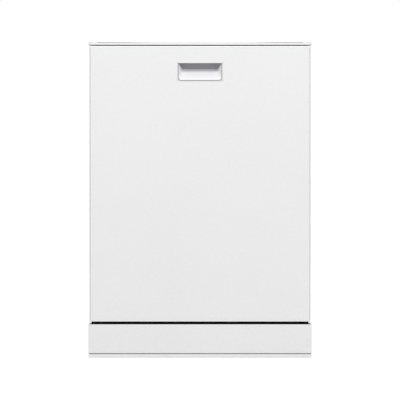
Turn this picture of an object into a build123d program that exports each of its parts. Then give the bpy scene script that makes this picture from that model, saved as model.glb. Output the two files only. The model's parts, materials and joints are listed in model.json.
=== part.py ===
from build123d import *

import os

# Free-standing dishwasher with its door shut. Millimetres, +Z up, the front faces -Y, and the
# origin lies on the floor under the middle of the cabinet.

# Overall size
width = 600
depth = 600
height = 850

# Stock and clearances
sheet = 1.0
wall = 2.5
seat_gap = 0.3
running_gap = 0.1
drum_sides = 20
pin_sides = 8

# Cabinet: each inset is measured from the overall size
panel_side_inset = 1
cabinet_back_inset = 3
panel_inset = 28
panel_bottom_z = 14
panel_flange = 6.5
panel_flange_start_z = 185
panel_rear_flange = 12
panel_bend_r = 2
worktop_h = 7.7
worktop_front_inset = 1.5
worktop_corner_r = 10
worktop_edge = 1.2
worktop_rim = 14
worktop_skin = 3
worktop_rib = 3
cover_rib_h = 1.5
cover_rib_w = 14
cover_rib_end = 79
cover_rib_margin = 115
cover_rib_count = 5
cover_slot_h = 6
cover_slot_rise = 61
cover_slot_end = 22

# Kick plate and the skirt behind its lower edge
kick_inset = 1
kick_top_z = 90.8
kick_bottom_z = 13.2
kick_return = 25
kick_edge_r = 1.5
kick_top_return = 3
skirt_top_z = 55
skirt_floor_gap = 0.8
skirt_lip = 6

# Base tray and feet
base_bottom_z = 16
base_floor_t = 4
base_wall = 4
base_wall_top_z = 76
base_front_inset = 15
beam_flange_w = 14
beam_web = 4
beam_inset = 4.5
beam_gusset_count = 3
cross_beam_inset = 70
kick_boss_inset = 120
kick_boss_z = 68
kick_boss_w = 12
foot_side_inset = 50
foot_front_inset = 55
foot_back_inset = 50
foot_pad_r = 20
foot_pad_h = 9
foot_stud_r = 5
foot_stud_h = 44
foot_nut_r = 11
foot_boss_w = 24
foot_boss_h = 22

# Door
door_side_inset = 2.5
door_bottom_z = 98.8
door_top_gap = 2.7
door_skin_inset = 0.6
door_return = 25
door_edge_r = 3
door_top_return = 7
door_bottom_return = 15
liner_rim_inset = 4
liner_rim_start_z = 195
liner_rim_depth = 7
liner_side_inset = 15
liner_face_clearance = 3.5
liner_bottom_gap = 2.7
liner_top_drop = 23.6
liner_face_drop = 3
strip_wall = 2.5
strip_drop = 0.3

# Door pivot and hinges
pivot_back = 35
pivot_z = 128
inner_face_behind_pivot = 15
gasket_face_behind_pivot = 4
hinge_pin_r = 4
hinge_arm_t = 2.5
arm_front = 14
arm_back = 2
arm_web = 3
hinge_arm_rise = 62
hinge_tail = 18
hinge_bracket_t = 2.5
hinge_bracket_d = 95
hinge_bracket_foot_d = 125
hinge_nose_r = 9
hinge_gap = 0.5
hinge_rope_w = 2
spring_r = 5
spring_behind_pivot = 135
spring_length = 180
spring_z = 60

# Pocket handle in the door skin
pocket_w = 121
pocket_h = 46
pocket_drop = 46.6
pocket_rim = 1.5
pocket_depth = 29
pocket_back_w = 95
pocket_back_h = 17
pocket_top_drop = 2
pocket_wall = 1.6
pocket_corner = 4

# Buttons on the top edge of the door
button_left_inset = 57.5
button_right_inset = 67.5
button_pitch = 40
button_right_count = 3
button_w = 22
button_d = 9
button_h = 11
button_proud = 0.7
button_gap = 0.4
button_edge = 0.5
button_collar = 2
button_collar_h = 1.5
button_back = 21
board_reach = 25
board_t = 2
board_rail_t = 5
switch_h = 4
switch_w = 8
switch_room = 2.4

# Latch
latch_w = 50
latch_slot_w = 14
latch_pin_r = 2
striker_w = 10
striker_t = 4
striker_rise = 26
striker_reach = 32
striker_plate_w = 50
striker_plate_d = 45
hook_t = 6
hook_drop = 12
hook_reach = 15

# Dispenser
dispenser_x = -10
dispenser_z = 470
dispenser_w = 190
dispenser_h = 140
dispenser_body_depth = 34
dispenser_rim = 6
dispenser_rim_h = 2.5
dispenser_corner_r = 10
cup_shift = 32
cup_w = 82
cup_h = 70
cup_depth = 26
cup_corner_r = 8
cup_z_shift = 14
lid_t = 2
lid_lap = 3
lid_grip_w = 40
lid_grip_h = 5
lid_grip_t = 1.2
cap_shift = 62
cap_r = 21
cap_h = 4
cap_plug_r = 17
cap_plug_h = 6
cap_grip_t = 1.5

# Tub
tub_side_inset = 27.5
tub_mouth_behind_liner = 1
tub_back_inset = 38
tub_top_drop = 42.3
tub_corner_r = 25
tub_flange = 12
threshold_z = 147
tub_floor_t = 2
tub_floor_z = 128
well_front_inset = 28
well_side_inset = 22.5
well_side_slope = 35
well_front_slope = 24
well_back_slope = 4
well_corner = 20
gasket_gap = 1.5
gasket_w = 9.5
gasket_nose = 2.5
lower_seal_inset = 4
lower_seal_t = 2.5
lower_seal_rise = 6
lower_seal_h = 9
lower_seal_edge = 1

# Sump, filters and pumps
sump_y = 10
sump_r = 97
sump_wall = 3
sump_bottom_z = 48
sump_tower_r = 13
filter_lap = 7
filter_t = 2
filter_offset = 58
filter_cyl_r = 33
filter_sides = 24
filter_cyl_bottom_z = 62
filter_grip_w = 7
filter_grip_h = 15
pump_gap = 15
pump_r = 36
motor_r = 30
pump_length = 100
volute_length = 35
pump_z = 82
drain_pump_r = 24
drain_pump_length = 62
port_r = 12
drain_z = 62
drain_shift = 44.5
drain_spigot_r = 9.5
drain_spigot_length = 8
drain_recess_r = 17
hose_straight = 60
outlet_bend_r = 10
inlet_inset = 94
inlet_z = 52
inlet_thread_r = 13.2
inlet_thread_length = 17
inlet_nut_r = 19
valve_w = 40
valve_top_rise = 18
valve_coil_r = 14
valve_coil_h = 26
gland_inset = 84
gland_z = 50
gland_r = 11
gland_hole_r = 4

# Air break tank beside the tub
tank_y = 70
tank_z = 400
tank_d = 250
tank_h = 300
tank_corner_r = 25
tank_groove_count = 4
tank_groove_pitch = 60
tank_groove_w = 12
tank_groove_d = 200

# Feed pipe inside the tub
pipe_w = 34
pipe_t = 12
pipe_seat = 4
pipe_corner_r = 14
dock_r = 14
spigot_r = 9
spigot_nut_r = 14
spigot_nut_h = 4

# Spray arms
arm_t = 12
arm_hub_r = 22
arm_tip_r = 13
lower_arm_reach = 232
upper_arm_reach = 215
top_arm_reach = 150
lower_arm_rise = 44
upper_arm_drop = 40
top_arm_drop = 36

# Racks
wire = 4
rim_wire = 5.6
rack_front_inset = 10
rack_rear_gap = 24
lower_rack_side_gap = 31.5
lower_rack_floor_rise = 61
lower_rack_mid_rise = 54
lower_rack_rim_rise = 114
upper_rack_side_gap = 44.5
upper_rack_floor_z = 470
upper_rack_mid_rise = 50
upper_rack_rim_rise = 118
cross_wire_count = 7
long_wire_count = 5
cross_wire_inset = 26
long_wire_inset = 30

# Lower rack wheels
wheel_r = 19
wheel_w = 12
wheel_front_inset = 75
wheel_rear_inset = 73
wheel_axle_r = 5
wheel_side_gap = 9
wheel_head_r = 8
wheel_head_t = 2
carrier_bar = 6

# Upper rack rails and rollers
rail_rise = 75
rail_rear_inset = 38
rail_t = 1.5
rail_tub_gap = 3
rail_w = 25.5
rail_web_inset = 12.5
roller_r = 9
roller_w = 6
roller_axle_r = 3
roller_head = 1.5
roller_head_t = 1
roller_shoulder = 2
rail_roller_offsets = (12, 150)
rack_wheel_insets = (238, 58)
rack_wheel_gap = 4
rack_plate_t = 4
rack_plate_half_h = 8
rack_plate_end = 14

# Fold-down tine rows, cutlery basket and cup shelf
tine = 3.6
tine_rod = 5
tine_rod_end = 6
tine_h = 74
tine_pitch = 37
tine_count = 12
tine_row_insets = (168, 78)
basket_side_inset = 57
basket_w = 86
basket_front_gap = 18
basket_d = 200
basket_h = 112
basket_wall = 2.4
basket_divider_t = 4
basket_corner_r = 8
basket_slot_w = 5
basket_slot_h = 60
basket_slot_count = 6
basket_handle_w = 80
basket_handle_h = 26
basket_handle_bar = 8
shelf_w = 92
shelf_front_inset = 70
shelf_rear_inset = 108
shelf_wire_count = 8
shelf_wire_inset = 12

# Places worked out from the sizes above
front_y = -depth / 2
back_y = depth / 2
cabinet_w = width - 2 * panel_side_inset
worktop_z = height - worktop_h
panel_front_y = front_y + panel_inset
cabinet_back_y = back_y - cabinet_back_inset
cabinet_half = cabinet_w / 2
skin_y = front_y + door_skin_inset
door_w = width - 2 * door_side_inset
door_top_z = worktop_z - door_top_gap
door_h = door_top_z - door_bottom_z
door_mid_z = (door_top_z + door_bottom_z) / 2
door_back_y = skin_y + door_return
pivot_y = front_y + pivot_back
inner_face_y = pivot_y + inner_face_behind_pivot
gasket_face_y = pivot_y + gasket_face_behind_pivot
rim_face_y = panel_front_y - sheet
tub_w = width - 2 * tub_side_inset
tub_half = tub_w / 2
tub_top_z = worktop_z - tub_top_drop
tub_back_y = back_y - tub_back_inset
tub_mouth_y = inner_face_y + tub_mouth_behind_liner
liner_rim_w = width - 2 * liner_rim_inset
liner_w = width - 2 * liner_side_inset
liner_face_w = tub_w - 2 * liner_face_clearance
liner_bottom_z = door_bottom_z + liner_bottom_gap
liner_top_z = door_top_z - liner_top_drop
liner_face_top_z = tub_top_z - liner_face_drop
base_top_z = base_bottom_z + base_floor_t
base_half = cabinet_half - sheet - seat_gap
base_front_y = front_y + base_front_inset
base_back_y = cabinet_back_y - sheet - seat_gap
beam_centre_x = tub_half - beam_inset
cross_beam_y = front_y + cross_beam_inset
beam_top_z = threshold_z - tub_floor_t - seat_gap
striker_z = tub_top_z + striker_rise
rack_front_y = inner_face_y + rack_front_inset
rack_rear_y = tub_back_y - rack_rear_gap
rail_z = upper_rack_floor_z + rail_rise
rail_front_y = rack_front_y
rail_length = rack_rear_y - rail_rear_inset - rail_front_y
rail_outer_x = tub_half - rail_tub_gap
rail_inner_x = rail_outer_x - rail_w
rail_web_x = rail_outer_x - rail_web_inset
rail_roller_ys = [rail_front_y + offset for offset in rail_roller_offsets]
lower_arm_z = tub_floor_z + lower_arm_rise
upper_arm_z = upper_rack_floor_z - upper_arm_drop
top_arm_z = tub_top_z - top_arm_drop
filter_y = sump_y - filter_offset

os.makedirs("parts", exist_ok=True)


def front_plane(y):
    """Upright plane that faces the front: local x is +X, local y is +Z, negative extrusions go back."""
    return Plane.XZ.offset(-y)


def side_plane(x):
    """Upright plane that faces +X: local x is +Y and local y is +Z."""
    return Plane.YZ.offset(x)


def level(z):
    """Flat plane at height z."""
    return Plane.XY.offset(z)


def span(start, end, count):
    """Evenly spaced places from start to end, both included."""
    return [start + (end - start) * i / (count - 1) for i in range(count)]


def box(x0, x1, y0, y1, z0, z1, mode=Mode.ADD):
    """A block between two corners, for the part being built."""
    with BuildSketch(level(z0)) as footprint:
        with Locations(((x0 + x1) / 2, (y0 + y1) / 2)):
            Rectangle(abs(x1 - x0), abs(y1 - y0))
    extrude(footprint.sketch, amount=z1 - z0, mode=mode)


def disc(plane, x, y, r, length, mode=Mode.ADD):
    """A true round bar or bore that starts on a plane, for mounts and turning fits."""
    with BuildSketch(plane) as section:
        with Locations((x, y)):
            Circle(r)
    extrude(section.sketch, amount=length, mode=mode)


def drum(plane, x, y, r, length, mode=Mode.ADD, sides=drum_sides):
    """A many-sided bar with its corners at r, or an opening with its flats at r."""
    with BuildSketch(plane) as section:
        with Locations((x, y)):
            RegularPolygon(r, sides, major_radius=mode == Mode.ADD)
    extrude(section.sketch, amount=length, mode=mode)


def add_wires(plane, points, across, length):
    """Straight wires of square section that start on a plane at each point."""
    with BuildSketch(plane) as sections:
        with Locations(*points):
            Rectangle(across, across)
    extrude(sections.sketch, amount=length)


def pin(plane, x, y, r, length, mode=Mode.ADD):
    """A small pin of eight-sided section, r to its corners, or a bore that clears such a pin."""
    across = r if mode == Mode.ADD else r + running_gap
    with BuildSketch(plane) as section:
        with Locations((x, y)):
            RegularPolygon(across, pin_sides, major_radius=mode == Mode.ADD)
    extrude(section.sketch, amount=length, mode=mode)


def ring(place, w, h, corner):
    """The eight corners of a rectangle with cut corners, each put in space by place(x, y)."""
    long_x = w / 2 - corner
    long_y = h / 2 - corner
    quarter = [(w / 2, long_y), (long_x, h / 2)]
    half = quarter + [(-x, y) for x, y in reversed(quarter)]
    return [place(x, y) for x, y in half + [(-x, -y) for x, y in half]]


def frustum(first, last):
    """A solid with flat sides between two rings of corners."""
    outlines = [first, last]
    for i in range(len(first)):
        outlines.append([first[i - 1], first[i], last[i], last[i - 1]])
    return Solid(Shell([Face(Wire.make_polygon(outline)) for outline in outlines]))


# Worktop: a moulded lid with a rim and ribs beneath
worktop_front_y = front_y + worktop_front_inset
worktop_d = back_y - worktop_front_y
worktop_mid_y = (back_y + worktop_front_y) / 2
with BuildPart() as worktop:
    with BuildSketch(level(worktop_z)):
        with Locations((0, worktop_mid_y)):
            RectangleRounded(width, worktop_d, worktop_corner_r)
    extrude(amount=worktop_h)
    chamfer(worktop.faces().sort_by(Axis.Z)[-1].edges(), worktop_edge)
    with BuildSketch(level(worktop_z)):
        with Locations((0, worktop_mid_y)):
            Rectangle(width - 2 * worktop_rim, worktop_d - 2 * worktop_rim)
        with Locations((0, worktop_mid_y)):
            with GridLocations(width / 4, worktop_d, 3, 1):
                Rectangle(worktop_rib, worktop_d, mode=Mode.SUBTRACT)
            with GridLocations(width, worktop_d / 3, 1, 2):
                Rectangle(width, worktop_rib, mode=Mode.SUBTRACT)
    extrude(amount=worktop_h - worktop_skin, mode=Mode.SUBTRACT)
worktop.part.label = "worktop"
export_step(worktop.part, "parts/worktop.step")

# Side panels: folded sheet with a front flange above the hinges and a rear flange all the way up
for side, name in ((-1, "side_panel_left"), (1, "side_panel_right")):
    with BuildPart() as side_panel:
        with BuildSketch(level(panel_bottom_z)):
            with BuildLine():
                Polyline(
                    (side * (cabinet_half - sheet), panel_front_y),
                    (side * cabinet_half, panel_front_y),
                    (side * cabinet_half, cabinet_back_y),
                    (side * (cabinet_half - panel_rear_flange), cabinet_back_y),
                    (side * (cabinet_half - panel_rear_flange), cabinet_back_y - sheet),
                    (side * (cabinet_half - sheet), cabinet_back_y - sheet),
                    close=True,
                )
            make_face()
        extrude(amount=worktop_z - panel_bottom_z)
        box(
            side * (cabinet_half - panel_flange - sheet),
            side * cabinet_half,
            panel_front_y,
            panel_front_y + sheet,
            panel_flange_start_z,
            worktop_z,
        )
        rear_bend = (side * cabinet_half, cabinet_back_y, (panel_bottom_z + worktop_z) / 2)
        fillet(side_panel.edges().filter_by(Axis.Z).sort_by_distance(rear_bend)[0], panel_bend_r)
    side_panel.part.label = name
    export_step(side_panel.part, f"parts/{name}.step")

# Back cover: sheet with pressed upright ribs and a row of air slots
cover_bottom_z = base_wall_top_z + wall
cover_h = worktop_z - seat_gap - cover_bottom_z
cover_mid_z = cover_bottom_z + cover_h / 2
cover_rib_pitch = (cabinet_w - 2 * cover_rib_end) / (cover_rib_count - 1)
with BuildPart() as back_cover:
    with BuildSketch(front_plane(cabinet_back_y)):
        with Locations((0, cover_mid_z)):
            Rectangle(cabinet_w - 2 * sheet, cover_h)
    extrude(amount=-sheet)
    with BuildSketch(front_plane(cabinet_back_y + sheet)):
        with Locations((0, cover_mid_z)):
            with GridLocations(cover_rib_pitch, cover_h, cover_rib_count, 1):
                Rectangle(cover_rib_w, cover_h - 2 * cover_rib_margin)
    extrude(amount=-cover_rib_h)
    with BuildSketch(front_plane(cabinet_back_y)):
        with Locations((0, cover_bottom_z + cover_slot_rise)):
            with GridLocations(cover_rib_pitch, cover_h, cover_rib_count - 1, 1):
                Rectangle(cover_rib_pitch - 2 * cover_slot_end, cover_slot_h)
    extrude(amount=-sheet, mode=Mode.SUBTRACT)
back_cover.part.label = "back_cover"
export_step(back_cover.part, "parts/back_cover.step")

# Kick plate: a shallow pan open to the back, with short returns top and bottom
kick_front_y = front_y + kick_inset
kick_h = kick_top_z - kick_bottom_z
kick_mid_z = (kick_top_z + kick_bottom_z) / 2
with BuildPart() as kick_plate:
    with BuildSketch(front_plane(kick_front_y)):
        with Locations((0, kick_mid_z)):
            Rectangle(width, kick_h)
    extrude(amount=-kick_return)
    fillet(kick_plate.faces().sort_by(Axis.Y)[0].edges().filter_by(Axis.Z), kick_edge_r)
    offset(amount=-sheet, openings=kick_plate.faces().sort_by(Axis.Y)[-1], kind=Kind.INTERSECTION)
    for return_depth, z0, z1 in (
        (kick_top_return, kick_top_z - sheet, kick_top_z),
        (sheet, kick_bottom_z, kick_bottom_z + sheet),
    ):
        box(
            -width / 2 + sheet,
            width / 2 - sheet,
            kick_front_y + return_depth,
            kick_front_y + kick_return,
            z0,
            z1,
            mode=Mode.SUBTRACT,
        )
kick_plate.part.label = "kick_plate"
export_step(kick_plate.part, "parts/kick_plate.step")

# Plinth skirt: slides up behind the kick plate and closes the gap to the floor
skirt_front_y = kick_front_y + sheet + seat_gap
skirt_half = width / 2 - sheet - kick_edge_r
with BuildPart() as plinth_skirt:
    box(-skirt_half, skirt_half, skirt_front_y, skirt_front_y + sheet, skirt_floor_gap, skirt_top_z)
    box(-skirt_half, skirt_half, skirt_front_y, skirt_front_y + skirt_lip, skirt_top_z - sheet, skirt_top_z)
plinth_skirt.part.label = "plinth_skirt"
export_step(plinth_skirt.part, "parts/plinth_skirt.step")

# Base tray: floor, front and rear walls, and two ribbed beams that carry the tub
foot_x = width / 2 - foot_side_inset
foot_ys = (front_y + foot_front_inset, back_y - foot_back_inset)
foot_points = [(x, y) for x in (-foot_x, foot_x) for y in foot_ys]
kick_boss_front_y = kick_front_y + sheet + seat_gap
gland_x = cabinet_half - gland_inset
inlet_x = inlet_inset - cabinet_half
drain_pump_x = -sump_r - port_r - sump_wall
drain_start_x = drain_pump_x - drain_pump_length + drain_spigot_r
drain_x = drain_start_x + drain_shift
with BuildPart() as base_tray:
    box(-base_half, base_half, base_front_y, base_back_y, base_bottom_z, base_top_z)
    box(-base_half, base_half, base_front_y, base_front_y + base_wall, base_top_z, base_wall_top_z)
    box(-base_half, base_half, base_back_y - base_wall, base_back_y, base_top_z, base_wall_top_z)
    box(
        -beam_centre_x,
        beam_centre_x,
        cross_beam_y,
        cross_beam_y + base_wall,
        base_top_z,
        beam_top_z,
    )
    for side in (-1, 1):
        x = side * beam_centre_x
        box(x - beam_web / 2, x + beam_web / 2, cross_beam_y, tub_back_y, base_top_z, beam_top_z)
        box(
            x - beam_flange_w / 2,
            x + beam_flange_w / 2,
            cross_beam_y,
            tub_back_y,
            beam_top_z - base_wall,
            beam_top_z,
        )
        for y in span(cross_beam_y + base_wall, tub_back_y - base_wall, beam_gusset_count):
            box(x - beam_flange_w / 2, x + beam_flange_w / 2, y, y + base_wall, base_top_z, beam_top_z)
        boss_x = side * (width / 2 - kick_boss_inset)
        box(
            boss_x - kick_boss_w / 2,
            boss_x + kick_boss_w / 2,
            kick_boss_front_y,
            base_front_y,
            kick_boss_z - kick_boss_w / 2,
            kick_boss_z + kick_boss_w / 2,
        )
    for x, y in foot_points:
        box(
            x - foot_boss_w / 2,
            x + foot_boss_w / 2,
            y - foot_boss_w / 2,
            y + foot_boss_w / 2,
            base_top_z,
            base_top_z + foot_boss_h,
        )
        pin(level(base_bottom_z), x, y, foot_stud_r, base_floor_t + foot_boss_h, mode=Mode.SUBTRACT)
    drum(front_plane(base_back_y), gland_x, gland_z, gland_r, base_back_y - back_y)
    wall_depth = back_y - base_back_y + base_wall
    disc(front_plane(back_y), gland_x, gland_z, gland_hole_r, wall_depth, mode=Mode.SUBTRACT)
    for x, z, r in ((inlet_x, inlet_z, inlet_nut_r), (drain_x, drain_z, drain_recess_r)):
        drum(front_plane(back_y), x, z, r, wall_depth, mode=Mode.SUBTRACT)
base_tray.part.label = "base_tray"
export_step(base_tray.part, "parts/base_tray.step")

# Levelling feet: pad, hexagon and threaded stud, screwed into the bosses of the base
with BuildPart() as levelling_feet:
    for x, y in foot_points:
        drum(Plane.XY, x, y, foot_pad_r, foot_pad_h)
        with BuildSketch(level(foot_pad_h)):
            with Locations((x, y)):
                RegularPolygon(foot_nut_r, 6)
        extrude(amount=base_bottom_z - foot_pad_h - seat_gap)
        pin(level(foot_pad_h), x, y, foot_stud_r, foot_stud_h)
levelling_feet.part.label = "levelling_feet"
export_step(levelling_feet.part, "parts/levelling_feet.step")


# Tub
def arch(half_w, top_z, r, bottom_z):
    """The outline of the tub's arch, with round upper corners, in the sketch being drawn."""
    with BuildLine() as outline:
        corner_left = (-half_w + r, top_z - r)
        corner_right = (half_w - r, top_z - r)
        Line((half_w, bottom_z), (half_w, top_z - r))
        CenterArc(corner_right, r, 0, 90)
        Line((half_w - r, top_z), (-half_w + r, top_z))
        CenterArc(corner_left, r, 90, 90)
        Line((-half_w, top_z - r), (-half_w, bottom_z))
        Line((-half_w, bottom_z), (half_w, bottom_z))
    make_face(outline.edges())


# Tub wrap: one bent sheet for both sides and the roof, with a front flange and the roller studs
with BuildPart() as tub_wrap:
    with BuildSketch(front_plane(tub_mouth_y)):
        arch(tub_half + sheet, tub_top_z + sheet, tub_corner_r + sheet, threshold_z)
    extrude(amount=tub_mouth_y - tub_back_y)
    with BuildSketch(front_plane(tub_mouth_y)):
        with Locations((0, (threshold_z + worktop_z - 2 * seat_gap) / 2)):
            Rectangle(tub_w + 2 * tub_flange, worktop_z - 2 * seat_gap - threshold_z)
    extrude(amount=-sheet)
    with BuildSketch(front_plane(tub_mouth_y)):
        arch(tub_half, tub_top_z, tub_corner_r, threshold_z)
    extrude(amount=tub_mouth_y - tub_back_y, mode=Mode.SUBTRACT)
    for side in (-1, 1):
        for y in rail_roller_ys:
            stud_start = side * tub_half
            stud_length = tub_half - rail_web_x - rail_t - seat_gap
            shoulder_length = stud_length - 2 * seat_gap - roller_w
            pin(side_plane(stud_start), y, rail_z, roller_axle_r, -side * stud_length)
            pin(side_plane(stud_start), y, rail_z, roller_axle_r + roller_shoulder, -side * shoulder_length)
    with BuildSketch(front_plane(tub_mouth_y)):
        with Locations((0, striker_z + striker_t / 2)):
            Rectangle(striker_w + 2 * sheet, striker_t + 2 * sheet)
    extrude(amount=-sheet, mode=Mode.SUBTRACT)
tub_wrap.part.label = "tub_wrap"
export_step(tub_wrap.part, "parts/tub_wrap.step")

# Tub back: flat sheet welded across the rear of the wrap
with BuildPart() as tub_back:
    with BuildSketch(front_plane(tub_back_y)):
        arch(tub_half + sheet, tub_top_z + sheet, tub_corner_r + sheet, threshold_z)
    extrude(amount=-sheet)
tub_back.part.label = "tub_back"
export_step(tub_back.part, "parts/tub_back.step")

# Tub floor: side shoulders that are the wheel tracks, and a sloped well down to the sump
pipe_y = tub_back_y - pipe_seat - pipe_t / 2
well_front_y = inner_face_y + well_front_inset
well_low_front_y = well_front_y + well_front_slope
well_low_back_y = tub_back_y - well_back_slope
well_top_w = tub_w - 2 * well_side_inset
well_low_w = well_top_w - 2 * well_side_slope


def well(thickness, drop):
    """The well as a solid, grown sideways by a thickness and lowered by a drop."""
    upper = ring(
        lambda x, y: (x, (well_front_y + tub_back_y) / 2 + y, threshold_z - drop),
        well_top_w + 2 * thickness,
        tub_back_y - well_front_y + 2 * thickness,
        well_corner,
    )
    lower = ring(
        lambda x, y: (x, (well_low_front_y + well_low_back_y) / 2 + y, tub_floor_z - drop),
        well_low_w + 2 * thickness,
        well_low_back_y - well_low_front_y + 2 * thickness,
        well_corner,
    )
    return frustum(upper, lower)


with BuildPart() as tub_floor:
    box(
        -tub_half - sheet,
        tub_half + sheet,
        tub_mouth_y + tub_floor_t,
        tub_back_y + 4 * tub_floor_t,
        threshold_z - tub_floor_t,
        threshold_z,
    )
    add(well(tub_floor_t, tub_floor_t))
    add(well(0, 0), mode=Mode.SUBTRACT)
    drum(level(tub_floor_z - tub_floor_t), 0, sump_y, sump_r, tub_floor_t, mode=Mode.SUBTRACT)
    pin(level(tub_floor_z - tub_floor_t), 0, pipe_y, pipe_t / 2 - 1, tub_floor_t, mode=Mode.SUBTRACT)
tub_floor.part.label = "tub_floor"
export_step(tub_floor.part, "parts/tub_floor.step")

# Gasket: soft profile round the sides and top of the tub mouth
gasket_inner = tub_half + gasket_gap
gasket_inner_top_z = tub_top_z + gasket_gap
with BuildPart() as tub_gasket:
    with BuildSketch(front_plane(gasket_face_y + seat_gap)):
        arch(
            gasket_inner + gasket_w,
            gasket_inner_top_z + gasket_w,
            tub_corner_r + gasket_w,
            threshold_z + sheet,
        )
    extrude(amount=gasket_face_y + seat_gap - tub_mouth_y)
    with BuildSketch(front_plane(gasket_face_y + seat_gap)):
        arch(gasket_inner, gasket_inner_top_z, tub_corner_r, threshold_z + sheet)
    extrude(amount=gasket_face_y + seat_gap - tub_mouth_y, mode=Mode.SUBTRACT)
    chamfer(tub_gasket.faces().sort_by(Axis.Y)[0].edges(), gasket_nose)
tub_gasket.part.label = "tub_gasket"
export_step(tub_gasket.part, "parts/tub_gasket.step")

# Sump: bowl under the tub floor with the tower that carries the lower spray arm
sump_top_z = tub_floor_z - tub_floor_t
tower_top_z = lower_arm_z + arm_t - wall - seat_gap
pump_front_y = sump_y + sump_r + pump_gap
with BuildPart() as sump:
    drum(level(sump_bottom_z), 0, sump_y, sump_r + sump_wall, sump_top_z - sump_bottom_z)
    drum(
        level(sump_bottom_z + sump_wall),
        0,
        sump_y,
        sump_r,
        sump_top_z - sump_bottom_z,
        mode=Mode.SUBTRACT,
    )
    drum(level(sump_bottom_z), 0, sump_y, sump_tower_r, tower_top_z - sump_bottom_z)
    box(-port_r, port_r, sump_y + sump_r, pump_front_y - seat_gap, pump_z - port_r, pump_z + port_r)
    box(
        drain_pump_x + seat_gap,
        -sump_r,
        sump_y - port_r,
        sump_y + port_r,
        drain_z - port_r,
        drain_z + port_r,
    )
sump.part.label = "sump"
export_step(sump.part, "parts/sump.step")

# Filter plate: flat strainer over the sump, holed for the filter cylinder and the tower
with BuildPart() as filter_plate:
    drum(level(tub_floor_z), 0, sump_y, sump_r + filter_lap, filter_t)
    drum(
        level(tub_floor_z),
        0,
        filter_y,
        filter_cyl_r + seat_gap,
        filter_t,
        mode=Mode.SUBTRACT,
    )
    pin(level(tub_floor_z), 0, sump_y, sump_tower_r + seat_gap, filter_t, mode=Mode.SUBTRACT)
filter_plate.part.label = "filter_plate"
export_step(filter_plate.part, "parts/filter_plate.step")

# Filter cylinder: fine mesh cup with a rim and a finger bar, twisted to lock
filter_top_z = tub_floor_z + filter_t + seat_gap
with BuildPart() as filter_cylinder:
    disc(level(filter_cyl_bottom_z), 0, filter_y, filter_cyl_r, filter_top_z + wall - filter_cyl_bottom_z)
    drum(
        level(filter_cyl_bottom_z + wall),
        0,
        filter_y,
        filter_cyl_r - wall,
        filter_top_z,
        mode=Mode.SUBTRACT,
        sides=filter_sides,
    )
    box(
        -filter_cyl_r + wall / 2,
        filter_cyl_r - wall / 2,
        filter_y - filter_grip_w / 2,
        filter_y + filter_grip_w / 2,
        filter_top_z,
        filter_top_z + filter_grip_h,
    )
filter_cylinder.part.label = "filter_cylinder"
export_step(filter_cylinder.part, "parts/filter_cylinder.step")

# Circulation pump: motor can with a stepped volute in front
with BuildPart() as circulation_pump:
    drum(front_plane(pump_front_y + pump_length), 0, pump_z, motor_r, pump_length)
    drum(front_plane(pump_front_y + volute_length), 0, pump_z, pump_r, volute_length)
circulation_pump.part.label = "circulation_pump"
export_step(circulation_pump.part, "parts/circulation_pump.step")

# Drain pump: smaller can beside the bowl
with BuildPart() as drain_pump:
    drum(side_plane(drain_pump_x), sump_y, drain_z, drain_pump_r, -drain_pump_length)
drain_pump.part.label = "drain_pump"
export_step(drain_pump.part, "parts/drain_pump.step")

# Hoses in the base: pump outlet up to the feed pipe, and drain pump out to the back
drain_end_y = base_back_y - base_wall - drain_spigot_length
drain_turn_y = drain_end_y - hose_straight
with BuildPart() as pump_hoses:
    with BuildLine() as outlet_path:
        Polyline(
            (0, pump_front_y + pump_length + seat_gap, pump_z),
            (0, pipe_y - outlet_bend_r, pump_z),
            (0, pipe_y, pump_z + outlet_bend_r),
            (0, pipe_y, sump_top_z - seat_gap),
        )
    with BuildSketch(Plane(origin=outlet_path.line @ 0, z_dir=outlet_path.line % 0)):
        RegularPolygon(port_r, pin_sides)
    sweep(path=outlet_path.line, transition=Transition.RIGHT)
    with BuildLine() as drain_path:
        Polyline(
            (drain_start_x, sump_y + drain_pump_r, drain_z),
            (drain_start_x, drain_turn_y - drain_shift, drain_z),
            (drain_x, drain_turn_y, drain_z),
            (drain_x, drain_end_y, drain_z),
        )
    with BuildSketch(Plane(origin=drain_path.line @ 0, z_dir=drain_path.line % 0)):
        RegularPolygon(drain_spigot_r, pin_sides)
    sweep(path=drain_path.line, transition=Transition.RIGHT)
    disc(front_plane(drain_end_y), drain_x, drain_z, drain_spigot_r, drain_end_y - back_y + seat_gap)
pump_hoses.part.label = "pump_hoses"
export_step(pump_hoses.part, "parts/pump_hoses.step")

# Inlet valve: body and coil behind the rear wall, with the threaded stub in its recess
valve_face_y = base_back_y - inlet_thread_length
with BuildPart() as inlet_valve:
    box(
        inlet_x - valve_w / 2,
        inlet_x + valve_w / 2,
        valve_face_y - valve_w,
        valve_face_y,
        base_top_z + seat_gap,
        inlet_z + valve_top_rise,
    )
    pin(level(inlet_z + valve_top_rise), inlet_x, valve_face_y - valve_w / 2, valve_coil_r, valve_coil_h)
    disc(front_plane(valve_face_y), inlet_x, inlet_z, inlet_thread_r, -inlet_thread_length)
inlet_valve.part.label = "inlet_valve"
export_step(inlet_valve.part, "parts/inlet_valve.step")

# Air break tank: flat chamber between the tub and the left side panel
tank_outer_x = cabinet_half - sheet - wall
tank_inner_x = tub_half + sheet + seat_gap
with BuildPart() as air_break_tank:
    with BuildSketch(side_plane(-tank_outer_x)):
        with Locations((tank_y, tank_z)):
            RectangleRounded(tank_d, tank_h, tank_corner_r)
    extrude(amount=tank_outer_x - tank_inner_x)
    with BuildSketch(side_plane(-tank_outer_x)):
        with Locations((tank_y, tank_z)):
            with GridLocations(0, tank_groove_pitch, 1, tank_groove_count):
                Rectangle(tank_groove_d, tank_groove_w)
    extrude(amount=wall, mode=Mode.SUBTRACT)
air_break_tank.part.label = "air_break_tank"
export_step(air_break_tank.part, "parts/air_break_tank.step")

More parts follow.
